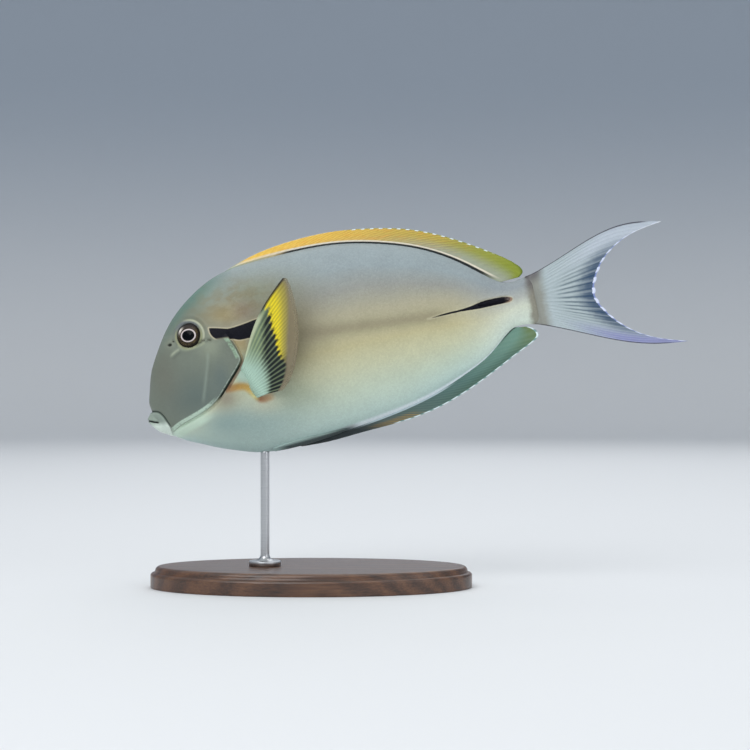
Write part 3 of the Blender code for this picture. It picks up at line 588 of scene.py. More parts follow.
@dataclass
class BodyForm:
    """The body as a loft of flat sections from the mouth to the root of the tail fin.

    A section runs between its points on the back and on the belly. Its two half ovals
    meet at its widest level: across = half width x |sin(turn)| ^ roundness. A row holds
    the back's along and up, the belly's along and up, the half width and that level.
    """

    sections: tuple[tuple[float, ...], ...] = (
        (-1.6, -38.7, -1.2, -39.3, 1.6, 0.50),
        (-4.7, -38.3, -2.6, -39.7, 3.2, 0.50),
        (-5.3, -36.2, -0.9, -43.2, 4.7, 0.50),
        (-2.8, -32.5, 5.0, -46.6, 5.4, 0.50),
        (-3.3, -28.6, 8.4, -47.7, 7.2, 0.50),
        (-2.3, -21.5, 14.0, -50.9, 10.0, 0.50),
        (-0.1, -11.5, 22.0, -54.0, 12.4, 0.50),
        (4.6, -0.8, 30.5, -57.2, 14.2, 0.50),
        (13.0, 13.6, 39.5, -59.9, 15.8, 0.52),
        (25.5, 26.6, 49.0, -62.4, 17.0, 0.54),
        (41.5, 37.0, 58.5, -63.6, 18.0, 0.55),
        (60.0, 42.2, 71.0, -63.5, 18.6, 0.55),
        (84.0, 45.2, 89.0, -61.0, 18.6, 0.55),
        (110.0, 46.5, 112.0, -56.3, 17.0, 0.54),
        (135.0, 43.7, 136.0, -50.7, 14.4, 0.53),
        (158.0, 37.7, 158.0, -43.5, 11.4, 0.52),
        (178.0, 28.0, 178.0, -34.0, 8.7, 0.51),
        (192.0, 18.4, 191.5, -25.0, 6.9, 0.50),
        (204.0, 12.2, 203.5, -14.4, 5.5, 0.50),
        (211.0, 13.0, 211.5, -12.6, 4.8, 0.50),
        (217.5, 14.7, 219.5, -13.8, 4.0, 0.50),
    )
    back_roundness: float = 1.22
    belly_roundness: float = 1.12
    back_starts: int = 6
    belly_starts: int = 5

    def __post_init__(self) -> None:
        """Spaces the sections by the square root of how far apart they lie."""
        self.rows = np.array(self.sections)
        moves = np.diff(self.rows[:, :4], axis=0)
        self.apart = (np.hypot(*moves[:, :2].T) + np.hypot(*moves[:, 2:].T)) / 2
        self.knots = np.concatenate([[0.0], np.cumsum(np.sqrt(self.apart))])

    def at(self, place: Array) -> Array:
        """Columns of the sections at places along the loft."""
        return spline(self.knots, self.rows, place)

    def surface(self, place: Array, turn: Array) -> tuple[Array, Array]:
        """Points of the skin.

        Args:
            place: Places along the loft, on a grid.
            turn: Angles round a section: 0 on the back, a quarter turn on the left
                flank and half a turn on the belly.

        Returns:
            Points as (along, across, up), and each one's level, 0 on the belly's
            outline and 1 on the back's.
        """
        back_a, back_u, belly_a, belly_u, half, widest = self.at(place.ravel()).T
        rise, sine = np.cos(turn).ravel(), np.sin(turn).ravel()
        level = widest + np.where(rise > 0, 1 - widest, widest) * rise
        roundness = np.where(rise > 0, self.back_roundness, self.belly_roundness)
        across = -half * np.abs(sine) ** roundness * np.sign(sine)
        along = belly_a + level * (back_a - belly_a)
        up = belly_u + level * (back_u - belly_u)
        return np.stack([along, across, up], -1).reshape(*place.shape, 3), level.reshape(place.shape)

    def flank(self, along: Array, up: Array) -> Array:
        """The body's half width at points seen from the side, 0 beyond the outline.

        Each point's section is the last one whose line from belly to back it crosses.
        """
        along, up = np.broadcast_arrays(np.asarray(along, float), np.asarray(up, float))
        loft = np.linspace(0, self.knots[-1], 700)
        back_a, back_u, belly_a, belly_u, half, widest = self.at(loft).T
        a, u = along.ravel()[:, None], up.ravel()[:, None]
        side = (back_a - belly_a) * (u - belly_u) - (back_u - belly_u) * (a - belly_a)
        crossed = np.sign(side[:, 1:]) != np.sign(side[:, :-1])
        k = crossed.shape[1] - 1 - crossed[:, ::-1].argmax(1)
        low = np.stack([belly_a[k], belly_u[k]], -1)
        run = np.stack([back_a[k], back_u[k]], -1) - low
        level = np.sum((np.concatenate([a, u], 1) - low) * run, 1) / np.sum(run * run, 1)
        upper = level > widest[k]
        rise = (level - widest[k]) / np.where(upper, 1 - widest[k], widest[k])
        roundness = np.where(upper, self.back_roundness, self.belly_roundness)
        reach = np.maximum(0, 1 - np.minimum(1, np.abs(rise)) ** 2) ** (roundness / 2)
        return (half[k] * reach).reshape(along.shape)

    def left_skin(self, along: Array, up: Array, off: Array | float = 0.0) -> tuple[Array, Array]:
        """Points on the left flank, moved off it along its normal, and the normals."""
        step = 0.4
        wide = self.flank(along, up)
        slope_a = (self.flank(along + step, up) - self.flank(along - step, up)) / (2 * step)
        slope_u = (self.flank(along, up + step) - self.flank(along, up - step)) / (2 * step)
        normal = np.stack([-slope_a, -np.ones_like(wide), -slope_u], -1)
        normal /= np.linalg.norm(normal, axis=-1, keepdims=True)
        along, up, off = np.broadcast_arrays(along, up, off, wide)[:3]
        return np.stack([along, -wide, up], -1) + normal * off[..., None], normal

    def outline(self, along: Array, below: bool) -> Array:
        """The belly's outline or the back's, as a height for each place along the fish."""
        first, column = (self.belly_starts, 2) if below else (self.back_starts, 0)
        fine = self.at(np.linspace(self.knots[first], self.knots[-1], 500))
        return np.interp(along, fine[:, column], fine[:, column + 1])


@dataclass(frozen=True)
class Markings:
    """Lines and patches of the head and flanks, seen from the side."""

    gill_edge: Line = (
        (44.9, 4.8), (46.5, 2.8), (48.3, -0.4), (50.1, -4.2), (51.4, -7.8), (52.0, -10.4),
        (51.2, -12.4), (49.4, -15.0), (46.4, -18.7), (43.2, -22.6), (39.8, -26.8),
        (36.2, -30.8), (31.4, -34.4), (25.3, -37.4), (20.3, -39.4), (15.2, -41.4),
        (11.4, -43.4), (8.2, -45.4),
    )
    preopercle: Line = (
        (34.7, -2.4), (34.2, -7.0), (32.9, -13.0), (31.2, -20.0), (29.3, -27.0), (27.4, -34.0)
    )
    lip_groove: Line = (
        (-3.2, -32.6), (-0.9, -32.7), (1.8, -33.3), (4.0, -35.2), (5.4, -37.4), (6.8, -40.4),
        (7.9, -43.4), (8.2, -46.6),
    )
    mouth: Line = ((-5.2, -37.4), (-3.2, -37.8), (-1.6, -38.5), (0.2, -39.0), (1.6, -39.8))
    eye_fold: Line = ((19.5, -0.4), (17.2, -1.3), (14.9, -2.6), (12.2, -4.3))
    under_eye: Line = (
        (17.8, 1.4), (20.0, -0.9), (22.8, -1.8), (26.6, -1.5), (30.1, -0.6), (33.8, 1.0)
    )
    eye_streak: Line = ((29.0, 1.0), (31.8, 2.1), (34.2, 2.5), (36.6, 2.2))
    nostrils: tuple[tuple[float, float, float], ...] = ((13.3, 2.8, 1.5), (15.6, 4.4, 0.9))
    epaulette: Line = (
        (36.7, 8.9), (40.1, 8.4), (44.7, 7.5), (47.4, 7.1), (51.2, 7.5), (56.0, 8.4),
        (59.8, 9.3), (63.6, 10.1), (67.8, 10.2), (69.6, 7.4), (68.4, 3.4), (64.3, 1.0),
        (58.7, 0.4), (54.9, 0.1), (52.1, 0.2), (49.5, 1.0), (47.2, 1.2), (45.0, 0.9),
        (42.4, 1.1), (40.0, 2.3), (38.0, 4.2), (36.9, 6.6), (36.7, 8.9),
    )
    streak: Line = (
        (157.0, -2.5), (167.7, -0.5), (176.8, 0.5), (182.6, 1.7), (187.3, 3.0), (193.1, 3.9),
        (197.7, 4.2), (201.1, 4.2), (203.9, 3.9), (205.6, 2.9), (205.4, 1.7), (203.0, 0.8),
        (198.3, 0.4), (192.5, -0.1), (186.8, -0.6), (181.1, -0.7), (175.5, -0.9),
        (167.5, -1.6), (157.0, -2.5),
    )
    scalpel: Line = ((204.3, 2.8), (195.0, 2.3), (185.0, 1.5))
    axil: Line = (
        (41.0, -25.8), (45.0, -25.7), (49.0, -25.4), (52.4, -26.0), (55.0, -28.2),
        (57.6, -31.6), (60.4, -33.8), (64.7, -33.4), (69.0, -32.6),
    )


@dataclass
class Skin:
    """The fish's whole skin as one surface, in place of the solids of flesh."""

    form: BodyForm
    marks: Markings
    head_spacing: float = 0.50
    trunk_spacing: float = 1.30
    head_sections: int = 11
    around: int = 296
    crowding: float = 0.35
    socket_radius: float = 6.75
    socket_depth: float = 4.0
    fin_base: Pair = (52.4, -20.0)
    nodes: tuple[str, ...] = (
        "head", "upper_jaw", "lower_jaw", "gill_cover_left", "gill_cover_right", "trunk",
        "tail_stalk",
    )

    def places(self) -> Array:
        """Where the rings lie: close together on the head, wider on the trunk."""
        knots, apart = self.form.knots, self.form.apart
        on_head = np.arange(len(apart)) < self.head_sections
        spacing = np.where(on_head, self.head_spacing, self.trunk_spacing)
        counts = np.maximum(5, np.ceil(apart / spacing).astype(int))
        spans = [np.linspace(*knots[i : i + 2], n, endpoint=False) for i, n in enumerate(counts)]
        return np.concatenate([*spans, knots[-1:]])

    def relief(self, seen: Array) -> tuple[Array, dict[str, Array]]:
        """How far the skin stands off its plain form, and the marks' distances.

        Each fold is a bell or a smooth step of the distance to its line: the gill
        cover's edge stands proud and drops into the slit behind it, the lips roll
        over their groove, and the orbit has a raised rim round a sunk socket.

        Args:
            seen: Points as (along, up) rows.

        Returns:
            Millimetres off the plain form, and what the vertices carry.
        """
        marks = self.marks
        reaches = {
            "gill_edge": 14.0, "preopercle": 8.0, "lip_groove": 6.0, "mouth": 4.0,
            "eye_fold": 5.0, "under_eye": 4.0, "scalpel": 6.0, "axil": 8.0, "eye_streak": 5.0,
        }
        lines = {key: line_distance(seen, getattr(marks, key), reach) for key, reach in reaches.items()}
        gill, gill_run = lines["gill_edge"]
        ends = fading(gill_run, 0.06, 0.86)
        off = ends * np.where(gill < 0, 0.9 * bell(gill, 6.5), 0.9 * smooth_step(gill, 0.35, 0.0))
        off -= ends * 0.95 * bell(gill - 0.75, 0.55)
        off += 0.20 * ends * bell(gill + 2.4, 0.7) * smooth_step(gill_run, 0.42, 0.3)
        throat = smooth_step(gill_run, 0.60, 0.72)
        off += throat * (0.22 * bell(gill + 1.5, 0.9) + 0.25 * bell(gill - 3.2, 2.0))
        ridge, ridge_run = lines["preopercle"]
        fade = fading(ridge_run, 0.15, 0.8)
        off += fade * (0.28 * bell(ridge, 1.3) - 0.22 * bell(ridge - 2.2, 1.6))
        lip, _ = lines["lip_groove"]
        off += 0.30 * bell(lip + 1.5, 1.1) - 0.55 * bell(lip, 0.5)
        mouth, mouth_run = lines["mouth"]
        off -= 0.85 * bell(mouth, 0.45) * smooth_step(mouth_run, 1.0, 0.8)
        fold, fold_run = lines["eye_fold"]
        lengthwise = fading(fold_run, 0.2, 0.6)
        off += lengthwise * (0.32 * bell(fold, 0.8) - 0.25 * bell(fold - 1.5, 0.8))
        away = seen - EYE
        radius = np.hypot(away[:, 0], away[:, 1])
        back = 0.5 + 0.5 * (away[:, 0] + away[:, 1]) / np.maximum(radius, 1e-6) / math.sqrt(2)
        off += 0.55 * bell(radius - 7.5, 0.85) - 0.30 * back * bell(radius - 9.4, 0.9)
        off += 0.25 * back * bell(radius - 10.8, 0.9)
        off -= self.socket_depth * smooth_step(radius, self.socket_radius, self.socket_radius - 1.1)
        under, under_run = lines["under_eye"]
        off += 0.18 * bell(under - 0.9, 0.7) * smooth_step(radius, 7.6, 8.6)
        nostril = np.full(len(seen), 5.0)
        for along, up, pit in marks.nostrils:
            gap = np.hypot(seen[:, 0] - along, (seen[:, 1] - up) * 1.8) / pit
            off += 0.22 * bell(gap - 1.5, 0.45) - 1.0 * smooth_step(gap, 1.1, 0.5)
            nostril = np.minimum(nostril, gap)
        groove, groove_run = lines["scalpel"]
        side = 0.30 * bell(np.abs(groove) - 2.5, 0.7)
        off += fading(groove_run, 0.06, 0.9) * (side - 0.75 * bell(groove, 1.5))
        base = np.hypot(*(seen - self.fin_base).T)
        off += 0.9 * bell(base, 6.5) * smooth_step(gill, 0.6, 4.0)
        axil, axil_run = lines["axil"]
        off -= 0.35 * bell(axil, 1.6)
        return off, {
            "gill": gill, "gill_run": gill_run, "lip": lip, "mouth": np.abs(mouth),
            "mouth_run": mouth_run, "nostril": nostril, "axil_run": axil_run,
            "ridge": fade * bell(ridge, 0.9),
            "fold": lengthwise * bell(fold + 0.1, 0.7),
            "fold_shade": lengthwise * bell(fold - 1.5, 0.8),
            "under_eye": bell(under - 0.4, 0.6) * (under_run > 0) * (under_run < 1),
            "eye_streak": bell(lines["eye_streak"][0], 0.85),
            "axil": fading(axil_run, 0.02, 0.86) * smooth_step(np.abs(axil), 3.2, 0.9),
            "epaulette": patch_distance(seen, marks.epaulette, 8.0),
            "streak": patch_distance(seen, marks.streak, 8.0),
        }

    def build(self, material: bpy.types.Material) -> bpy.types.Object:
        """Makes the skin and lets it stand for the solids of flesh."""
        turn = np.linspace(0, TURN, self.around, endpoint=False)
        turn = turn + self.crowding * np.sin(2 * turn) / 2
        place, angle = np.meshgrid(self.places(), turn, indexing="ij")
        points, level = self.form.surface(place, angle)
        around = np.roll(points, -1, axis=1) - np.roll(points, 1, axis=1)
        normal = np.cross(np.gradient(points, axis=0), around)
        normal /= np.maximum(np.linalg.norm(normal, axis=-1, keepdims=True), 1e-9)
        normal *= np.sign(np.sum(normal * points * [0, 1, 0]))
        off, carried = self.relief(points[..., [0, 2]].reshape(-1, 2))
        off *= smooth_step(place.ravel(), self.form.knots[0], self.form.knots[2])
        points = points + normal * off.reshape(*place.shape, 1)
        values = {key: value.reshape(place.shape) for key, value in carried.items()}
        values["level"] = level
        spread = 0.01 + 0.98 * np.append(turn, TURN) / TURN
        return tube(points, values, spread).build("fish_skin", material, self.nodes, "flank_skin")


@dataclass(frozen=True)
class SkinFinish:
    """The skin's colours: slate above, tan along the middle, pale below."""

    slate: Tone = (153, 165, 168)
    grey: Tone = (157, 159, 152)
    tan: Tone = (180, 175, 150)
    sand: Tone = (198, 191, 150)
    pale: Tone = (204, 206, 174)
    mint: Tone = (200, 214, 194)
    belly: Tone = (196, 218, 208)
    keel: Tone = (178, 204, 200)
    head: Tone = (120, 128, 116)
    jaw: Tone = (200, 224, 204)
    ink: Tone = (6, 7, 20)
    cream: Tone = (200, 190, 160)
    flank_clouds: tuple[Cloud, ...] = (
        ((78.0, 0.0), (20.0, 22.0), 0.9, (130, 124, 102)),  # painted shadow of the pectoral fin on the flank behind it
        ((62.0, 25.0), (25.0, 11.0), 0.8, (134, 138, 112)),  # olive shoulder
        ((58.0, -47.0), (30.0, 15.0), 0.75, (150, 174, 172)),  # blue-grey breast
        ((78.0, -33.0), (15.0, 9.0), 0.5, (140, 152, 130)),  # shade under the fin
    )
    head_clouds: tuple[Cloud, ...] = (
        ((24.0, -28.0), (17.0, 13.0), 0.9, (101, 114, 109)),  # painted shade on the lower cheek
        ((40.0, -20.0), (5.0, 9.0), 0.6, (100, 114, 112)),  # painted shade on the rear of the gill cover
        ((36.0, -1.0), (6.0, 7.0), 0.7, (150, 158, 138)),  # light behind the eye
        ((8.0, -14.0), (9.0, 16.0), 0.6, (112, 113, 102)),  # snout
        ((40.0, 28.0), (16.0, 9.0), 0.8, (136, 152, 140)),  # nape
    )
    nape_clouds: tuple[Cloud, ...] = (
        ((47.0, 15.0), (13.0, 7.0), 0.8, (162, 148, 104)),  # ochre over the epaulette
        ((57.0, 16.0), (6.0, 5.0), 0.6, (138, 122, 110)),  # its brown end
    )

    def build(self) -> bpy.types.Material:
        """Mixes the skin's material: flank, tail stalk and head, then their marks."""
        r = Recipe("fish_skin")
        along, up = r.seen
        level, gill = r.attribute("level"), r.attribute("gill")
        cloud, drift = r.noise(r.place, 0.09, 3.0) - 0.5, r.noise(r.place, 0.03) - 0.5
        flank = r.ramp(
            level + drift * 0.05,
            (0.0, self.keel), (0.07, self.belly), (0.18, self.mint), (0.31, self.pale),
            (0.44, self.sand), (0.62, self.tan), (0.74, self.grey), (0.86, self.slate),
        )
        tail = r.ramp(
            level, (0.1, (224, 236, 222)), (0.4, (218, 224, 206)), (0.62, (180, 184, 178)),
            (0.85, (150, 158, 162)),
        )
        lateral = (up + 1.5) * 0.25
        band = (lateral * lateral).bell() * along.within(96.0, 158.0, 18.0)
        flank = r.clouds(flank, *self.flank_clouds)
        flank = r.coats(flank, (band * 0.6, (138, 130, 108)), (along.rises(168.0, 212.0), tail))
        crown = level.rises(0.90, 0.985) * 0.65 * along.rises(4.0, 24.0)
        shade = r.mix(crown, r.clouds(self.head, *self.head_clouds), (86, 126, 118))
        crisp = gill.falls(-0.2, 0.1) * up.falls(3.0, 8.0)
        soft = (along - up * 0.10).falls(28.0, 54.0) * up.rises(1.0, 9.0)
        head = (crisp + soft).math("MINIMUM", 1.0) * along.falls(52.2, 52.6)
        colour = r.clouds(r.mix(head, flank, shade), *self.nape_clouds)
        patchy = r.noise(r.scaled(r.place, (0.7, 1.0, 1.2)), 0.22, 3.0).rises(0.42, 0.62)
        nape = r.spot((52.0, 21.0), (21.0, 11.0)) * (0.15 + patchy * 0.85)
        breast = r.spot((39.0, -44.0), (15.0, 8.0)) * gill.rises(1.0, 5.0)
        colour = r.coats(
            colour,
            (nape * 0.55, (132, 118, 84)),
            (r.spot((61.0, -37.0), (10.0, 5.0)) * 0.5, (204, 202, 174)),
            (breast * 0.75, (140, 164, 162)),
        )
        colour = self.marks(r, self.face(r, self.gill_cover(r, colour)))
        distance, own = r.cells(r.place, 1.15)
        scaled = along.rises(34.0, 56.0)
        mottle = r.noise(r.place, 0.7, 4.0) - 0.5
        speck = (own - 0.5) * 0.08 * (0.35 + scaled * 0.65) + cloud * 0.14 + mottle * 0.08
        return r.finish(
            Base_Color=r.tinted(colour, 1.0 + speck - distance * 0.08 * scaled),
            Roughness=0.44 + cloud * 0.12 - distance * 0.05,
            Normal=r.bump(mottle * 0.5 - distance * (0.25 + scaled * 0.75), 0.00018, 0.45),
            Coat_Weight=0.04, Coat_Roughness=0.20, Specular_IOR_Level=0.16,
        )

    def gill_cover(self, r: Recipe, colour: Wire) -> Wire:
        """Adds the gill cover's ridges, rims and slit, and the fin's base behind it.

        Args:
            r: The recipe so far.
            colour: The skin's plain colour.

        Returns:
            The colour with these on it.
        """
        along, up = r.seen
        gill, run = r.attribute("gill"), r.attribute("gill_run")
        patchy = r.noise(r.place, 0.9, 3.0)
        nook = (along - 52.5).size().falls(2.0, 5.5) * up.within(-9.0, 0.0, 4.0) * gill.rises(0.6, 1.2)
        pad = r.spot((53.0, -17.0), (6.0, 8.0)) * gill.rises(0.9, 1.8)
        blush = r.spot((41.0, -31.0), (7.0, 6.0)) * gill.rises(0.6, 1.4)
        axil = r.attribute("axil") * gill.rises(0.4, 1.0)
        glow = r.ramp(
            r.attribute("axil_run"), (0.0, (150, 112, 84)), (0.24, (180, 134, 50)),
            (0.42, (196, 156, 66)), (0.60, (206, 200, 132)), (0.70, (150, 92, 50)),
            (0.9, (178, 150, 112)),
        )
        behind = gill.within(0.8, 2.2, 0.6) * run.within(0.25, 0.44, 0.05)
        stripe = gill.within(-1.8, -0.3, 0.7) * run.rises(0.55, 0.68)
        under = gill.within(0.8, 4.2, 3.0) * run.rises(0.62, 0.78)
        edge = gill.within(-2.0, -0.4, 0.7) * run.within(0.02, 0.2, 0.03) * patchy.rises(0.3, 0.6)
        line = gill.within(-0.7, -0.3, 0.25) * run.within(0.18, 0.60, 0.06) * patchy.rises(0.3, 0.55)
        # slit: painted shade along the gill slit, dark green, half as strong on its lower part
        slit = gill.within(0.0, 0.4, 0.35) * run.rises(0.02, 0.06) * (1.0 - run.rises(0.54, 0.64) * 0.5)
        return r.coats(
            colour,
            (r.attribute("ridge") * 0.32, (160, 174, 160)),
            (nook * 0.85, (168, 150, 108)),
            ((pad * 1.3).math("MINIMUM", 0.95), (170, 196, 180)),
            (blush * 0.8, (146, 138, 122)),
            (axil * 0.85, glow),
            (behind * 0.7, (112, 80, 64)),
            (stripe * 0.7 * patchy.rises(0.2, 0.5), self.jaw),
            (under * 0.8, (204, 228, 208)),
            (edge * 0.75, (160, 190, 160)),
            (line * 0.6, (178, 192, 178)),
            # painted shade: near black deep in the middle part of the gill slit
            (gill.within(0.0, 0.9, 0.25) * run.within(0.30, 0.53, 0.07), (8, 12, 12)),
            (slit * 0.65, (52, 66, 54)),
        )

    def face(self, r: Recipe, colour: Wire) -> Wire:
        """Adds the lips, the folds and rims round the eye, and the nostrils.

        Args:
            r: The recipe so far.
            colour: The colour so far.

        Returns:
            The colour with these on it.
        """
        along, up = r.seen
        lip, lumps = r.attribute("lip"), r.noise(r.place, 0.55)
        pale = r.mix(up.falls(-41.5, -38.2), (156, 170, 158), (230, 244, 232))
        pale = r.tinted(pale, 0.88 + lumps * 0.2)
        on_lip = lip.falls(-0.4, 0.1) * along.falls(8.0, 9.0)
        groove = lip.size().falls(0.25, 0.8) * along.falls(7.2, 8.4)
        mouth = r.attribute("mouth").falls(0.25, 0.7) * r.attribute("mouth_run").falls(0.75, 0.98)
        a, u = along - EYE[0], up - EYE[1]
        radius = (a * a + u * u).math("SQRT")
        rear = ((a + u * 0.6) / radius).rises(0.1, 0.9)
        top = (u / radius).rises(0.0, 0.8)
        return r.coats(
            colour,
            (on_lip * 0.9, pale),
            # painted shade in the groove behind the lips
            (groove * 0.8, (46, 58, 50)),
            # painted shade in the slit of the closed mouth between the lips
            (mouth * 0.95, (16, 20, 22)),
            (radius.within(6.6, 8.4, 0.6) * top * 0.8, (112, 118, 122)),  # upper lid
            (radius.within(8.3, 8.9, 0.5) * rear * 0.75, (186, 190, 162)),  # rear rim
            (radius.within(6.9, 7.7, 0.5) * (1.0 - top) * 0.7, (154, 156, 118)),  # lower lid
            (radius.falls(6.4, 6.8), (20, 18, 16)),  # painted shade in the sunk socket round the eye
            (r.attribute("under_eye") * radius.rises(6.8, 7.4) * 0.6, (170, 178, 150)),
            (r.attribute("fold") * 0.7, (182, 190, 166)),
            (r.attribute("fold_shade") * 0.35, (84, 92, 82)),
            (r.attribute("eye_streak") * lumps.rises(0.25, 0.6) * 0.85, (44, 44, 36)),
            (r.spot((14.2, 3.4), (3.6, 3.0)) * 0.5, (150, 156, 138)),
            # painted shade in the nostril pits
            (r.attribute("nostril").falls(0.7, 1.25) * 0.92, (28, 32, 26)),
        )

    def marks(self, r: Recipe, colour: Wire) -> Wire:
        """Adds the epaulette, the streak on the tail stalk and the pale hem of the belly.

        Args:
            r: The recipe so far.
            colour: The colour so far.

        Returns:
            The colour with these on it.
        """
        along, up = r.seen
        level, patch, streak = map(r.attribute, ("level", "epaulette", "streak"))
        cover = r.attribute("gill").rises(-0.2, 0.3).math("MAXIMUM", up.rises(1.4, 3.0))
        inked = r.mix(along.rises(199.0, 205.0) * 0.9, self.ink, (158, 132, 112))
        foot = (along + (r.noise(r.place, 0.2) - 0.5) * 3.0).rises(212.6, 217.0)
        return r.coats(
            colour,
            (patch.falls(0.35, 1.0) * 0.75 * cover, self.cream),
            (patch.falls(-0.2, 0.2) * cover, self.ink),
            (streak.falls(0.0, 1.1) * 0.5, (206, 200, 168)),
            (streak.falls(-0.25, 0.2), inked),
            (level.falls(0.012, 0.032) * along.within(112.0, 196.0, 16.0) * 0.95, (238, 250, 254)),
            # painted shade along the keel under the folded pelvic fins
            (level.falls(0.006, 0.034) * along.within(68.0, 104.0, 10.0) * 0.88, (34, 48, 52)),
            (foot * 0.9, (136, 132, 118)),
            (foot * level.rises(0.55, 0.95) * 0.8, (84, 80, 88)),
        )


@dataclass
class Fin:
    """What every fin shares: its rays, how they stand proud, and its thickness."""

    name: str
    nodes: tuple[str, ...]
    slot: str
    rays: int
    spines: int = 0
    columns: int = 8
    rows: int = 26
    membrane: float = 0.20
    ray_ridge: float = 0.24
    spine_ridge: float = 0.34
    scallop: float = 0.35
    sink: float = 2.4
    outline: Line = ()

    def __post_init__(self) -> None:
        """Places the columns from 0 to 1, and tells how near each lies to a ray."""
        self.share = np.linspace(0, 1, self.rays * self.columns + 1)
        self.on_ray = 0.5 - 0.5 * np.cos(TURN * self.share * self.rays)

    def ridge(self, out: Array) -> Array:
        """Height of the rays: tall on spines, and thinner to the margin."""
        tall = np.where(self.share * self.rays < self.spines, self.spine_ridge, self.ray_ridge)
        return tall * self.on_ray**1.5 * (1 - 0.6 * np.clip(out, 0, 1))

    def fan(self, foot: Array, knob: Array | float = 1.0) -> tuple[Array, Array, Array]:
        """Spreads the rays flat from their feet to the outline, with a row sunk below.

        A column ends scallop x (how near it lies to a ray - 0.5) x knob past the outline.

        Args:
            foot: The columns' feet, (along, up).
            knob: How far the scallops stand out along the margin.

        Returns:
            Points (rows, columns, 2), shares of the way out, and millimetres to the margin.
        """
        tip = smooth_curve(self.outline, self.share)
        way = (tip - foot) / np.linalg.norm(tip - foot, axis=1, keepdims=True)
        tip = tip + way * (self.scallop * (self.on_ray - 0.5) * knob)[:, None]
        length = np.maximum(np.linalg.norm(tip - foot, axis=1), 0.4)
        out = np.linspace(0, 1, self.rows)[:, None] ** 0.9 * np.ones(len(length))
        out = np.concatenate([-self.sink / length[None], out])
        flat = foot * (1 - out[..., None]) + tip * out[..., None]
        return flat, out, length * (1 - out)

    def dress(
        self, middle: Array, half: Array, out: Array, margin: Array, material: bpy.types.Material,
        normal: Array | None = None, side: Side = Side.LEFT,
    ) -> bpy.types.Object:
        """Makes the fin's piece from its middle sheet.

        Args:
            middle, half: The sheet's grid and its half thicknesses.
            out: Share of the way from root to margin, on the grid.
            margin: Millimetres to the margin, on the grid.
            material: Its finish.
            normal: The sheet's normals; straight across the fish if None.
            side: The flank of a paired fin.

        Returns:
            The piece, standing for the fin's solids.
        """
        if normal is None:
            normal = np.zeros_like(middle) + [0.0, 1.0, 0.0]
        inside = np.clip(out, 0, 0.999)
        values = {
            "ray": np.broadcast_to(self.share * self.rays, half.shape), "out": np.clip(out, 0, 1),
            "margin": margin, "rise": margin * inside / (1 - inside),
        }
        surface = blade(middle, normal, half, values)
        return surface.build(self.name, material, self.nodes, self.slot, side)


@dataclass
class MedianFin(Fin):
    """The dorsal or the anal fin, standing in the fish's middle plane."""

    root: Pair = (0.0, 1.0)
    sheath: float = 1.0
    below: bool = False

    def build(self, form: BodyForm, material: bpy.types.Material) -> bpy.types.Object:
        """Makes the fin from the body's edge to its margin."""
        along = self.root[0] + (self.root[1] - self.root[0]) * self.share
        flat, out, margin = self.fan(np.stack([along, form.outline(along, self.below)], -1))
        near = np.clip(out, 0, 1)
        across = 0.18 * np.sin(self.share * self.rays * 0.9) * near**1.5
        half = self.membrane + self.ridge(out) + (self.sheath - self.membrane) * (1 - near) ** 4
        half = half * np.where(near > 0.97, 0.6, 1.0)
        return self.dress(np.insert(flat, 1, across, -1), half, out, margin, material)


@dataclass
class TailFin(Fin):
    """The tail fin: two long lobes about a deep crescent.

    A ray's middle line runs straight from the stalk to the trailing edge, and bows
    outwards by bow x sin(pi x out ^ skew) x |side| ^ 2.5.
    """

    outline: Line = (
        (300.5, -34.1), (280.0, -28.6), (265.0, -19.6), (256.0, -9.6), (252.4, -1.0),
        (254.8, 9.6), (262.0, 20.2), (276.0, 29.4), (294.5, 34.2),
    )
    upper_bow: float = 7.5
    lower_bow: float = 4.4
    skew: float = 1.45
    root_half: float = 3.75
    edge_ridge: float = 0.45

    def build(self, form: BodyForm, material: bpy.types.Material) -> bpy.types.Object:
        """Makes both lobes as one fin, rooted on the body's last section."""
        side = 2 * self.share - 1
        high, low = form.rows[-1, :4].reshape(2, 2)
        flat, out, margin = self.fan(low + (high - low) * self.share[:, None], 1 - np.abs(side) ** 3)
        near = np.clip(out, 0, 1)
        bow = np.where(side > 0, self.upper_bow, -self.lower_bow)
        flat[..., 1] += bow * np.sin(math.pi * near**self.skew) * np.abs(side) ** 2.5
        flesh = np.sqrt(np.maximum(0.02, 1 - side**2)) * np.maximum(0, 1 - near / 0.28) ** 2.2
        half = self.membrane + self.ridge(out) * smooth_step(near, 0.05, 0.25)
        half = half + self.edge_ridge * np.abs(side) ** 6 * (1 - near) ** 0.7
        half = half + (self.root_half - self.membrane) * flesh
        half[0] *= 0.75
        middle = np.insert(flat, 1, 0.25 * np.sin(side * 9) * near**2, -1)
        return self.dress(middle, half, out, margin, material)


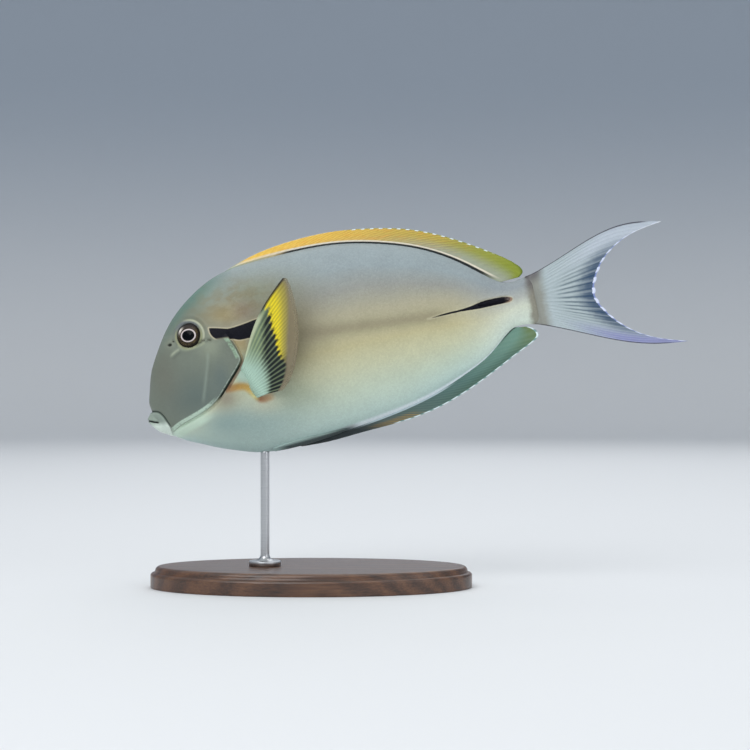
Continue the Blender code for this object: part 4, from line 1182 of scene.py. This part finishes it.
@dataclass
class PectoralFin(Fin):
    """A pectoral fin, raised and spread off the flank."""

    root: Line = ((53.2, -13.5), (61.5, -31.6))
    outline: Line = (
        (82.0, 28.9), (83.8, 28.4), (85.6, 22.9), (86.8, 11.4), (86.3, 0.9), (84.6, -8.7),
        (81.8, -17.3), (77.8, -25.1), (72.7, -30.6),
    )
    spread: Pair = (25.0, 5.0)
    lead_bow: float = -3.0
    root_half: float = 1.9

    def build(self, form: BodyForm, material: bpy.types.Material, side: Side) -> bpy.types.Object:
        """Makes one fin: its first ray stands furthest off the flank, its last least."""
        share = self.share
        first, last = np.array(self.root)
        foot = first + (last - first) * share[:, None]
        flat, out, margin = self.fan(foot)
        near = np.clip(out, 0, 1)
        bow = self.lead_bow * np.sin(math.pi * near) * (1 - share) ** 2
        flat += np.stack([bow, -0.7 * bow], -1)
        spread = self.spread[0] + (self.spread[1] - self.spread[0]) * share
        off = spread * near**1.15 + 0.35 * np.sin(share * 11) * near**2
        off = off + np.minimum(out, 0) * (margin + 1e-6) * 0.6
        middle = np.insert(flat, 1, -(form.flank(*foot.T) + off), -1)
        normal = np.cross(np.gradient(middle, axis=0), np.gradient(middle, axis=1))
        normal /= np.linalg.norm(normal, axis=-1, keepdims=True)
        flesh = np.clip(1 - near / 0.32, 0, 1) ** 1.8 * np.minimum(1, 5 * share + 0.5)
        half = self.membrane + self.ridge(out) + 0.3 * (1 - share) ** 6 * (1 - near)
        half = half + (self.root_half - self.membrane) * flesh
        return self.dress(middle, half, out, margin, material, normal, side)


@dataclass
class PelvicFin(Fin):
    """A pelvic fin, folded back along the belly beside the keel."""

    root_along: float = 63.0
    lengths: tuple[float, ...] = (38.0, 41.5, 40.0, 34.5, 28.5, 23.0)
    low_edge: float = 0.5
    width: float = 3.6
    root_half: float = 0.5

    def build(self, form: BodyForm, material: bpy.types.Material, side: Side) -> bpy.types.Object:
        """Makes one fin, lying just off the skin, with its first row sunk into it."""
        middles = (np.arange(len(self.lengths)) + 0.5) / len(self.lengths)
        length = np.interp(self.share, middles, self.lengths)
        out = np.linspace(0, 1, self.rows)[:, None] * np.ones(len(self.share))
        along = self.root_along + out * length
        wide = self.width * (0.3 + 0.7 * np.sin(math.pi * np.minimum(1, 0.15 + out) * 0.62))
        up = form.outline(along, below=True) + self.low_edge + wide * self.share
        half = self.membrane + self.ridge(out) + (self.root_half - self.membrane) * (1 - out) ** 4
        middle, normal = form.left_skin(along, up, 0.15 + 0.35 * out)
        sunk = middle[0] + (middle[0] - middle[1]) * 1.6 - normal[0] * 1.6
        normal, half, out = (np.concatenate([grid[:1], grid]) for grid in (normal, half, out))
        middle = np.concatenate([sunk[None], middle])
        return self.dress(middle, half, out, (1 - out) * length, material, normal, side)


@dataclass(frozen=True)
class DorsalFinish:
    """Yellow, orange in front and olive behind, over a cream line and a black one."""

    front: Tone = (250, 204, 92)
    middle: Tone = (214, 184, 90)
    rear: Tone = (160, 160, 78)
    tip: Tone = (138, 152, 52)
    rays: float = 35.0

    def build(self) -> bpy.types.Material:
        """Mixes the dorsal fin's material."""
        r = FinRecipe("dorsal_fin", self.rays)
        run, out, rise, margin = r.run, r.out, r.rise, r.margin
        lines = (r.ray * 1.3 - out * 3.4 + (r.noise(r.place, 0.4) - 0.5) * 0.8).wave()
        strength = run.within(0.3, 0.7, 0.15) * 0.26 + 0.05
        orange = r.noise(r.scaled(r.place, (0.12, 1.0, 0.6)), 1.0).rises(0.5, 0.7)
        dash = margin.falls(0.7, 1.2) * r.ray.wave().rises(0.55, 0.75)
        cream = rise.within(1.1, 2.7, 0.35) * run.within(0.03, 0.93, 0.06)
        colour = r.coats(
            r.ramp(
                run, (0.05, self.front), (0.33, self.front), (0.52, self.middle), (0.78, self.rear),
                (0.95, self.tip),
            ),
            (run.falls(0.01, 0.09) * 0.7, (214, 204, 176)),
            (out.falls(0.20, 0.80) * run.rises(0.45, 0.80) * 0.9, (160, 168, 152)),
            (out.falls(0.1, 0.6) * run.within(0.18, 0.5, 0.12) * 0.6, (206, 172, 106)),
            ((1.0 - lines) * strength, (176, 118, 52)),
            (lines.rises(0.6, 1.0) * strength * out.rises(0.1, 0.4), (230, 206, 90)),
            (orange * 0.25 * run.falls(0.7, 0.95), (232, 150, 56)),
            (margin.falls(0.3, 1.0) * run.rises(0.32, 0.45) * 0.75, (120, 136, 40)),
            (dash * run.within(0.42, 0.84, 0.04), (222, 240, 244)),
            (margin.falls(0.2, 0.5) * run.within(0.03, 0.3, 0.05) * 0.5, (196, 216, 180)),
            (run.rises(0.90, 1.0) * margin.falls(0.4, 2.0) * 0.6, (70, 96, 30)),
            (cream * (0.45 + run.rises(0.08, 0.26) * 0.55), (222, 214, 194)),
            (run.falls(0.01, 0.07) * 0.75, (176, 188, 172)),
            (rise.falls(0.9, 1.4) * run.falls(0.10, 0.32) * 0.8, (126, 146, 136)),
            (rise.falls(1.25, 1.6) * run.within(0.24, 0.92, 0.07), (26, 32, 32)),
        )
        return r.grained(colour, lines, Specular_IOR_Level=0.3)


@dataclass(frozen=True)
class AnalFinish:
    """Nearly black in front, then blue-green, with a bright dashed edge."""

    dark: Tone = (58, 62, 62)
    deep: Tone = (80, 96, 94)
    green: Tone = (82, 116, 110)
    light: Tone = (112, 150, 134)
    rays: float = 27.0

    def build(self) -> bpy.types.Material:
        """Mixes the anal fin's material."""
        r = FinRecipe("anal_fin", self.rays)
        run, out, rise, margin = r.run, r.out, r.rise, r.margin
        lines = (r.ray * 1.5 - out * 1.4).wave()
        gold = run.within(0.30, 0.42, 0.06) * out.rises(0.3, 0.6) * lines.rises(0.1, 0.5)
        dashes = r.mix(r.ray.wave().rises(0.12, 0.45), (124, 164, 160), (236, 252, 255))
        colour = r.coats(
            r.ramp(run, (0.1, self.dark), (0.38, self.deep), (0.7, self.green), (0.95, self.light)),
            (out.rises(0.3, 0.9) * run.rises(0.4, 0.7) * 0.6, (60, 88, 70)),
            (gold * 0.8, (150, 118, 56)),
            (run.rises(0.84, 1.0) * out.rises(0.3, 0.8) * 0.7, (118, 134, 70)),
            (lines * 0.14, (140, 166, 150)),
            (rise.falls(1.0, 1.8) * run.within(0.30, 0.62, 0.10) * 0.9, (196, 214, 220)),
            (run.falls(0.22, 0.36) * 0.85, (28, 38, 42)),
            (margin.falls(1.0, 1.4) * run.within(0.36, 1.0, 0.03) * 0.95, dashes),
            (rise.falls(0.4, 1.1) * run.rises(0.90, 0.97) * 0.8, (34, 44, 40)),
        )
        return r.grained(colour, lines, Specular_IOR_Level=0.3)


@dataclass(frozen=True)
class TailFinish:
    """A brown band at the root, pale grey, dark teal rays and a pale blue margin."""

    pale: Tone = (180, 193, 196)
    rays: float = 20.0

    def build(self) -> bpy.types.Material:
        """Mixes the tail fin's material."""
        r = FinRecipe("tail_fin", self.rays)
        ray, out, margin = r.ray, r.out, r.margin
        side = ray * (2 / self.rays) - 1.0
        wide = side.size()
        noise = r.noise(r.place, 0.35) - 0.5
        upper, lower = side.rises(0.2, 0.75), side.falls(-0.85, -0.35)
        streak = (ray * 1.5 + 0.5 + noise * 0.16).wave().rises(0.45, 1.0)
        dark = (out + noise * 0.16).rises(0.24, 0.56) * wide.falls(0.12, 0.62)
        near = (out + noise * 0.10).rises(0.58, 0.92) * wide.falls(0.25, 0.80)
        thread = (ray * 3.0 + noise * 0.4).wave().rises(0.5, 1.0) * out.rises(0.15, 0.5)
        far = (r.rise + noise * 3.0).falls(2.5, 9.5)
        knob = ray.wave().rises(0.1, 0.7)
        hem = (margin - knob * 0.9).falls(0.7, 1.1) * wide.falls(0.97, 0.995)
        colour = r.coats(
            self.pale,
            (upper * out.rises(0.2, 0.7), (194, 203, 214)),
            (lower * out.rises(0.15, 0.65), (146, 150, 196)),
            (dark * streak * 0.78, (66, 90, 104)),
            (near * 0.88, (36, 66, 100)),
            (thread * 0.20, (84, 104, 108)),
            (ray.wave().rises(0.7, 1.0) * out.rises(0.2, 0.5) * 0.22, (204, 214, 216)),
            (far * 0.8, (142, 140, 126)),
            (far * side.rises(0.45, 1.0) * 0.8, (84, 80, 88)),
            # painted shade: a faint dark line in the crease where the fin meets the tail stalk
            ((r.rise - 0.8).size().falls(0.3, 1.0) * 0.12, (110, 104, 94)),
            (hem * (0.75 + knob * 0.25), r.mix(knob, (150, 166, 226), (224, 232, 255))),
            (margin.falls(0.9, 1.6) * side.rises(0.55, 0.8), (240, 245, 252)),
            (wide.rises(0.955, 0.985) * out.within(0.05, 0.84, 0.10) * 0.9, (38, 34, 50)),
        )
        return r.grained(
            colour, (ray * 4.0).wave(), lumps=1.0, contrast=0.14, depth=0.00014, Specular_IOR_Level=0.3
        )


@dataclass(frozen=True)
class PectoralFinish:
    """A pale green fan with black between its rays, a yellow band and a clear edge."""

    flesh: Tone = (176, 206, 188)
    yellow: Tone = (255, 232, 44)
    rays: float = 16.0

    def build(self) -> bpy.types.Material:
        """Mixes the pectoral fins' material."""
        r = FinRecipe("pectoral_fin", self.rays)
        ray, run, out = r.ray, r.run, r.out
        on_ray, fine = ray.wave(), (ray * 2.0 + 0.5).wave()
        wobble = (r.noise(r.place, 0.5) - 0.5) * 0.10
        gaps = (1.0 - on_ray) * out.rises(0.02, 0.3) * (0.5 + run.falls(0.15, 0.5) * 0.3)
        start = 0.17 + run.falls(0.02, 0.42) * 0.22
        end = 0.62 - run.rises(0.05, 0.25) * 0.05 + run.rises(0.50, 0.95) * 0.42
        deep = (out + wobble - start).rises(0.0, 0.22)
        black = deep * (1.0 - on_ray.rises(0.40, 0.95) * (1.0 - deep * 0.58))
        last = 0.93 - run.rises(0.0, 0.55) * 0.20
        beyond = (out + wobble * 0.9 + (on_ray - 0.5) * 0.05 - end).rises(0.0, 0.06)
        amber = r.mix((out - last + 0.17).rises(0.0, 0.17), self.yellow, (178, 164, 84))
        amber = r.mix((1.0 - fine) * 0.45, amber, (132, 122, 24))
        clear = ((out - last).rises(-0.02, 0.08) + run.rises(0.56, 0.82) * beyond).math("MINIMUM", 1.0)
        lead = run.falls(0.004, 0.028) * out.rises(0.50, 0.68)
        # light: a painted highlight, pale along the leading ray near the root
        light = run.falls(0.02, 0.07) * out.falls(0.48, 0.62) * out.rises(0.0, 0.15)
        colour = r.coats(
            self.flesh,
            ((out + run.falls(0.0, 0.6) * 0.2).rises(0.15, 0.5), (152, 168, 126)),
            (gaps, (98, 120, 100)),
            (black * run.rises(0.015, 0.12), (10, 22, 22)),
            (beyond * run.falls(0.48, 0.78), amber),
            (clear * 0.92, (154, 141, 116)),
            (lead * 0.95, (40, 34, 34)),
            (light * 0.8, (206, 214, 178)),
        )
        thin = clear * (0.42 + r.margin.falls(0.0, 3.0) * 0.2) * (1.0 - lead)
        return r.grained(
            colour, (ray * 3.0).wave(), lumps=1.5, contrast=0.14, roughness=0.42, depth=0.00010,
            Alpha=1.0 - thin, Specular_IOR_Level=0.3,
        )


@dataclass(frozen=True)
class PelvicFinish:
    """Pale as the belly along the top, dusky along the keel."""

    pale: Tone = (160, 184, 178)
    dusk: Tone = (30, 44, 48)
    ridge: Tone = (120, 142, 138)

    def build(self) -> bpy.types.Material:
        """Mixes the pelvic fins' material."""
        r = FinRecipe("pelvic_fin")
        dark = r.out.rises(-0.05, 0.22) * (r.ray + r.out * 1.5).falls(3.2, 6.4)
        colour = r.coats(self.pale, (dark * 0.94, self.dusk), (r.ray.wave() * 0.15, self.ridge))
        return r.grained(
            colour, (r.ray * 3.0).wave(), lumps=1.5, contrast=0.14, roughness=0.42, depth=0.00010,
            strength=0.6, Coat_Weight=0.15, Coat_Roughness=0.25,
        )


@dataclass
class Eye:
    """An eye as a flattened ball, with a slight extra bulge over the pupil."""

    radius: float = 7.4
    depth: float = 3.6
    proud: float = 2.1
    bulge: float = 0.35
    bulge_radius: float = 3.6
    rings: int = 60
    around: int = 72

    def build(self, form: BodyForm, material: bpy.types.Material, side: Side) -> bpy.types.Object:
        """Makes one eye, facing square to the side of the head."""
        centre, normal = form.left_skin(*np.array(EYE), off=self.proud - self.depth)
        polar = np.linspace(0.02, math.pi - 0.02, self.rings)[:, None]
        turn = np.linspace(0, TURN, self.around, endpoint=False)
        radius = self.radius * np.sin(polar) * np.ones(self.around)
        bulge = self.bulge * bell(radius, self.bulge_radius) * (np.cos(polar) > 0)
        rear = np.cross([0.0, 0.0, 1.0], normal)
        rear /= np.linalg.norm(rear)
        points = centre + normal * (self.depth * np.cos(polar) + bulge)[..., None]
        points = points + rear * (radius * np.cos(turn))[..., None]
        points = points + np.cross(normal, rear) * (radius * np.sin(turn))[..., None]
        node = f"eye_{side.word}"
        return tube(points, {"from_axis": radius}).build(f"{node}_ball", material, (node,), "eye", side)


@dataclass(frozen=True)
class EyeFinish:
    """A black pupil in a bright ring, and a dark brown iris under a clear gloss."""

    pupil: float = 3.45
    ring: float = 4.15

    def build(self) -> bpy.types.Material:
        """Mixes the eyes' material."""
        r = Recipe("eye")
        radius, fleck = r.attribute("from_axis"), r.noise(r.place, 1.6, 4.0)
        side, rise = r.seen[0] - EYE[0], r.seen[1] - EYE[1]
        inner = (side * side + rise * rise * 1.4).math("SQRT")
        iris = r.ramp(fleck, (0.3, (26, 20, 16)), (0.5, (58, 48, 34)), (0.7, (96, 82, 54)))
        # glint: a highlight painted on the iris's rim, above and in front of the pupil
        glint = r.spot((EYE[0] - 4.3, EYE[1] + 3.4), (1.5, 1.9)) * radius.within(4.7, 6.1, 0.4)
        ring = r.mix(fleck.rises(0.3, 0.7) * 0.5, (220, 210, 208), (160, 144, 138))
        colour = r.coats(
            iris,
            (rise.rises(1.0, 6.0) * 0.6, (58, 56, 60)),
            (radius.rises(5.4, 6.4) * 0.85, (18, 16, 14)),
            (glint, (228, 220, 210)),
            (inner.falls(self.ring, self.ring + 0.35), ring),
            (inner.falls(self.pupil, self.pupil + 0.15), (3, 5, 10)),
        )
        return r.finish(
            Base_Color=colour, Roughness=0.3, Specular_IOR_Level=0.05, Coat_Weight=0.12,
            Coat_Roughness=0.02, Coat_IOR=1.45,
        )


@dataclass
class Scalpel:
    """The folded spine of the tail stalk: a lancet that lies in its groove.

    Its half height is h x sqrt(1 - t ^ 2) x min(1, 0.5 + 3t) from root to tip.
    """

    root: Pair = (204.3, 2.8)
    tip: Pair = (186.2, 1.6)
    half_height: float = 1.45
    half_thickness: float = 0.75
    proud: float = 0.70
    rings: int = 48
    around: int = 20

    def build(self, form: BodyForm, material: bpy.types.Material, side: Side) -> bpy.types.Object:
        """Makes one spine."""
        share = np.linspace(0.004, 0.998, self.rings)
        root, tip = np.array(self.root), np.array(self.tip)
        line = root * (1 - share[:, None]) + tip * share[:, None]
        middle, normal = form.left_skin(*line.T, self.proud - self.half_thickness)
        taper = np.sqrt(np.maximum(0.0, 1 - share**2)) * np.minimum(1, 0.5 + 3 * share)
        taper = (taper * np.sqrt(np.minimum(1, share / 0.05)))[:, None]
        turn = np.linspace(0, TURN, self.around, endpoint=False)
        tall = self.half_height * taper * np.sin(turn)
        thick = self.half_thickness * taper * np.cos(turn) * (1 - 0.35 * np.abs(np.sin(turn)))
        points = middle[:, None] + np.array([0.0, 0.0, 1.0]) * tall[..., None]
        points = points + normal[:, None] * thick[..., None]
        node = f"scalpel_{side.word}"
        return tube(points).build(f"{node}_spine", material, (node,), "scalpel", side)


@dataclass(frozen=True)
class ScalpelFinish:
    """Hard, nearly black horn with a paler root."""

    dark: Tone = (6, 6, 13)
    light: Tone = (20, 20, 30)
    root: Tone = (150, 134, 126)

    def build(self) -> bpy.types.Material:
        """Mixes the spines' material."""
        r = Recipe("scalpel_horn")
        streak = r.noise(r.scaled(r.place, (0.25, 3.0, 3.0)), 1.0, 3.0)
        root = r.seen[0].rises(200.6, 204.4) * streak.rises(0.40, 0.55)
        horn = r.ramp(streak, (0.3, self.dark), (0.75, self.light))
        return r.finish(
            Base_Color=r.mix(root * 0.75, horn, self.root), Roughness=0.40 + streak * 0.12,
            Specular_IOR_Level=0.08, Coat_Weight=0.05, Coat_Roughness=0.15,
            Normal=r.bump(streak, 0.0001, 0.4),
        )


def arc(low: Pair, high: Pair, hollow: bool = False, count: int = 9) -> Array:
    """A quarter of an oval from low to high, straight up at its start, or flat if hollow."""
    quarter = np.linspace(0, math.pi / 2, count)
    ways = (np.sin(quarter), 1 - np.cos(quarter)) if hollow else (1 - np.cos(quarter), np.sin(quarter))
    return np.stack([a + (b - a) * way for a, b, way in zip(low, high, ways)], -1)


@dataclass
class Stand:
    """An oval wooden base and a turned steel rod, in metres."""

    base_centre: Pair = (-0.060, 0.0)
    base_half_length: float = 0.090
    base_half_width: float = 0.047
    base_height: float = 0.012
    rod_x: float = -0.086
    rod_radius: float = 0.0025
    foot_radius: float = 0.009
    rod_top: float = 0.0768
    flat_share: float = 0.2

    def revolve(self, profile: Array, centre: Pair, wide: float, deep: float, around: int) -> Surface:
        """Carries a profile round an oval: x = wide - inset, y = deep - inset.

        Args:
            profile: Rows of (inset from the oval, height), from the underside's middle
                to the top's middle, with the inset at the middles just short of deep.
            centre: The oval's centre.
            wide, deep: Half its length and half its width.
            around: Points round the oval.

        Returns:
            The closed surface, in metres.
        """
        turn = np.linspace(0, TURN, around, endpoint=False)
        inset, height = profile[:, :1], profile[:, 1:]
        shrink = np.maximum(0.0, deep - inset) / deep
        reach = np.where(inset < self.flat_share * deep, wide - inset, wide * shrink)
        x, y = centre[0] + reach * np.cos(turn), centre[1] + (deep - inset) * np.sin(turn)
        return tube(np.stack(np.broadcast_arrays(x, y, height), -1))

    def base(self, material: bpy.types.Material) -> bpy.types.Object:
        """Makes the base: a small foot, a straight side, a cove and a rounded top edge."""
        top, deep = self.base_height, self.base_half_width
        inner = np.linspace(self.flat_share, 1, 24)[1:] * deep * 0.999
        inner = np.concatenate([[self.flat_share * deep * 0.99], inner])[:, None]
        profile = np.concatenate([
            np.insert(inner[::-1], 1, 0.0, -1),
            arc((0.0006, 0.0), (0.0, 0.0006), hollow=True),
            [[0.0, 0.0006 + 0.0058 * t] for t in np.linspace(0.1, 1, 4)],
            arc((0.0, 0.0068), (0.0022, 0.0086)),
            [[0.0024, 0.0088], [0.0024, 0.0092]],
            arc((0.0026, top - 0.0026), (0.0052, top)),
            np.insert(inner, 1, top, -1),
        ])
        surface = self.revolve(profile, self.base_centre, self.base_half_length, deep, 200)
        return surface.build("wooden_base", material, ("stand_base",), "base_wood", pose=None)

    def rod(self, material: bpy.types.Material) -> bpy.types.Object:
        """Makes the rod: a turned foot, a fillet and a plain shaft."""
        low, thin, foot = self.base_height, self.rod_radius, self.foot_radius
        profile = np.concatenate([
            [[0.0002, low], [foot, low]],
            arc((foot, low + 0.0022), (foot - 0.0006, low + 0.0028), count=10),
            arc((thin + 0.0034, low + 0.0030), (thin, low + 0.0064), hollow=True, count=10),
            [[thin, z] for z in np.linspace(low + 0.008, self.rod_top, 30)],
            [[0.0002, self.rod_top]],
        ])
        profile[:, 0] = foot - profile[:, 0]
        surface = self.revolve(profile, (self.rod_x, 0.0), foot, foot, 64)
        return surface.build("steel_rod", material, ("stand_rod",), "rod_steel", pose=None)


@dataclass(frozen=True)
class WoodFinish:
    """Dark walnut, its grain along the base, under satin lacquer."""

    dark: Tone = (44, 28, 19)
    brown: Tone = (84, 54, 36)
    light: Tone = (112, 76, 50)

    def build(self) -> bpy.types.Material:
        """Mixes the wood's material: bent bands, fine fibres and short pores."""
        r = Recipe("walnut")
        place = r.object_place()
        bend = r.noise(r.scaled(place, (6.0, 22.0, 22.0)), 1.0, 3.0)
        _, y, z = r.parts(place)
        rings = ((y * 120.0 + z * 60.0) + bend * 5.0).wave()
        fibre = r.noise(r.scaled(place, (60.0, 1400.0, 1400.0)), 1.0, 3.0)
        pore = r.noise(r.scaled(place, (220.0, 2600.0, 2600.0)), 1.0).rises(0.60, 0.68)
        wood = r.ramp(rings * 0.28 + fibre * 0.72, (0.2, self.dark), (0.5, self.brown), (0.8, self.light))
        return r.finish(
            Base_Color=r.mix(pore * 0.5, wood, self.dark), Roughness=0.36 + fibre * 0.12,
            Coat_Weight=0.45, Coat_Roughness=0.12, Normal=r.bump(fibre * 0.4 - pore, 0.00008, 0.5),
        )


@dataclass(frozen=True)
class SteelFinish:
    """Fine-turned stainless steel."""

    dark: Tone = (176, 178, 182)
    light: Tone = (206, 207, 208)

    def build(self) -> bpy.types.Material:
        """Mixes the rod's material: fine rings of the lathe round the rod."""
        r = Recipe("turned_steel")
        lathe = r.noise(r.scaled(r.object_place(), (40.0, 40.0, 9000.0)), 1.0)
        return r.finish(
            Base_Color=r.mix(lathe, self.dark, self.light), Metallic=1.0,
            Roughness=0.22 + lathe * 0.16, Normal=r.bump(lathe, 0.00003, 0.4),
        )


@dataclass
class Studio:
    """A pale round sweep, soft lamps and the camera, in metres."""

    camera_place: tuple[float, float, float] = (-0.0244, -0.9917, 0.1187)
    lens: float = 85.0
    floor_radius: float = 2.4
    sweep_radius: float = 1.2
    wall_height: float = 3.0
    paper: Tone = (225, 227, 229)
    far_paper: Tone = (166, 176, 188)
    sky: Tone = (236, 240, 244)
    sky_strength: float = 0.75
    aim: tuple[float, float, float] = (0.0, 0.0, 0.12)
    lamps: tuple[tuple, ...] = (
        ("key", (-0.7, -1.3, 1.7), 1.3, 17.0),
        ("fill", (1.4, -1.3, 0.7), 1.3, 5.0),
        ("top", (0.1, 0.3, 1.9), 1.5, 9.0),
        ("glint", (-0.50, -0.95, 0.62), 0.10, 0.6),
        ("back", (0.2, 1.6, 1.2), 1.2, 5.0),
    )

    def sweep(self) -> None:
        """Makes the floor: flat, then curved up all round into a plain wall."""
        bend = np.linspace(0, math.pi / 2, 24)[1:]
        edge = self.floor_radius + self.sweep_radius
        curved = self.floor_radius + self.sweep_radius * np.sin(bend)
        radius = np.concatenate([np.linspace(0.01, self.floor_radius, 14), curved, [edge]])[:, None]
        rise = self.sweep_radius * (1 - np.cos(bend))
        height = np.concatenate([np.zeros(14), rise, [self.wall_height]])[:, None]
        turn = np.linspace(0, TURN, 96, endpoint=False)
        x, y = radius * np.cos(turn), radius * np.sin(turn)
        points = np.stack(np.broadcast_arrays(x, y, height), -1).reshape(-1, 3)
        faces = quads(len(radius), len(turn), wrap=True)[:, ::-1].tolist()
        mesh = bpy.data.meshes.new("floor")
        mesh.from_pydata(points.tolist(), [], [*faces, list(range(len(turn)))])
        mesh.shade_smooth()
        r = Recipe("floor_paper")
        _, depth, tall = r.parts(r.object_place())
        wall = tall.rises(0.02, 0.9) * depth.rises(0.8, 2.0)
        mesh.materials.append(r.finish(Base_Color=r.mix(wall, self.paper, self.far_paper), Roughness=0.85))
        floor = bpy.data.objects.new("floor", mesh)
        bpy.context.scene.collection.objects.link(floor)

    def lamp(self, name: str, place: tuple[float, float, float], size: float, watts: float) -> None:
        """Hangs a square soft lamp that faces the fish.

        Args:
            name: The lamp's name.
            place: Where it hangs.
            size: Length of its side.
            watts: Its power.
        """
        data = bpy.data.lights.new(name, "AREA")
        data.size, data.energy = size, watts
        lamp = bpy.data.objects.new(name, data)
        lamp.location = place
        way = np.array(place) - self.aim
        tilt, swing = math.acos(way[2] / np.linalg.norm(way)), math.atan2(way[1], way[0])
        lamp.rotation_euler = (tilt, 0.0, swing + math.pi / 2)
        bpy.context.scene.collection.objects.link(lamp)

    def build(self) -> None:
        """Sets up the floor, the lamps, the sky light and the camera."""
        self.sweep()
        for row in self.lamps:
            self.lamp(*row)
        scene = bpy.context.scene
        scene.world = bpy.data.worlds.new("studio")
        scene.world.use_nodes = True
        sky = scene.world.node_tree.nodes["Background"].inputs
        sky["Color"].default_value, sky["Strength"].default_value = paint(self.sky), self.sky_strength
        scene.view_settings.view_transform = "Standard"
        data = bpy.data.cameras.new("camera")
        data.lens, data.sensor_width, data.clip_start = self.lens, 36.0, 0.02
        scene.camera = bpy.data.objects.new("camera", data)
        scene.camera.location = self.camera_place
        scene.camera.rotation_euler = (math.pi / 2, 0.0, 0.0)
        scene.collection.objects.link(scene.camera)


def build_fins(form: BodyForm) -> None:
    """Makes all the fins."""
    fine = {"ray_ridge": 0.12, "spine_ridge": 0.2, "scallop": 0.12}
    MedianFin(
        "dorsal_fin_web", ("dorsal_fin",), "dorsal_membrane", rays=35, spines=9, **fine,
        root=(49.0, 201.5), outline=(
            (52.0, 41.4), (58.0, 43.9), (70.0, 47.9), (90.0, 51.9), (112.0, 53.6),
            (136.0, 52.2), (158.0, 48.0), (180.0, 39.4), (200.0, 28.9), (210.5, 21.8),
            (213.8, 17.2), (211.4, 14.2),
        ),
    ).build(form, DorsalFinish().build())
    MedianFin(
        "anal_fin_web", ("anal_fin",), "anal_membrane", rays=27, spines=3, **fine,
        root=(77.0, 205.5), below=True, outline=(
            (78.3, -63.25), (94.0, -62.5), (111.0, -60.2), (128.0, -58.1), (143.0, -55.7),
            (159.0, -51.3), (176.0, -44.0), (193.0, -34.8), (208.0, -26.2), (217.2, -20.4),
            (217.6, -18.0), (215.4, -15.4), (211.8, -13.8),
        ),
    ).build(form, AnalFinish().build())
    TailFin(
        "tail_fin_web", ("caudal_fin_upper", "caudal_fin_lower"), "caudal_membrane", rays=20,
        rows=44, scallop=0.9, sink=3.0,
    ).build(form, TailFinish().build())
    pectoral, pelvic = PectoralFinish().build(), PelvicFinish().build()
    for side in Side:
        node = f"pectoral_fin_{side.word}"
        PectoralFin(
            f"{node}_web", (node,), "pectoral_membrane", rays=16, rows=36, scallop=0.2, sink=4.0
        ).build(form, pectoral, side)
        node = f"pelvic_fin_{side.word}"
        PelvicFin(
            f"{node}_web", (node,), "pelvic_membrane", rays=6, columns=10, rows=24
        ).build(form, pelvic, side)


def main() -> None:
    """Builds the fish and its stand over the frame, and the studio round them."""
    logging.basicConfig(level=logging.INFO, format="%(name)s: %(message)s")
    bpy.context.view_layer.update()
    form = BodyForm()
    Skin(form, Markings()).build(SkinFinish().build())
    eye, scalpel = EyeFinish().build(), ScalpelFinish().build()
    for side in Side:
        Eye().build(form, eye, side)
        Scalpel().build(form, scalpel, side)
    build_fins(form)
    stand = Stand()
    stand.base(WoodFinish().build())
    stand.rod(SteelFinish().build())
    Studio().build()


if __name__ == "__main__":
    main()
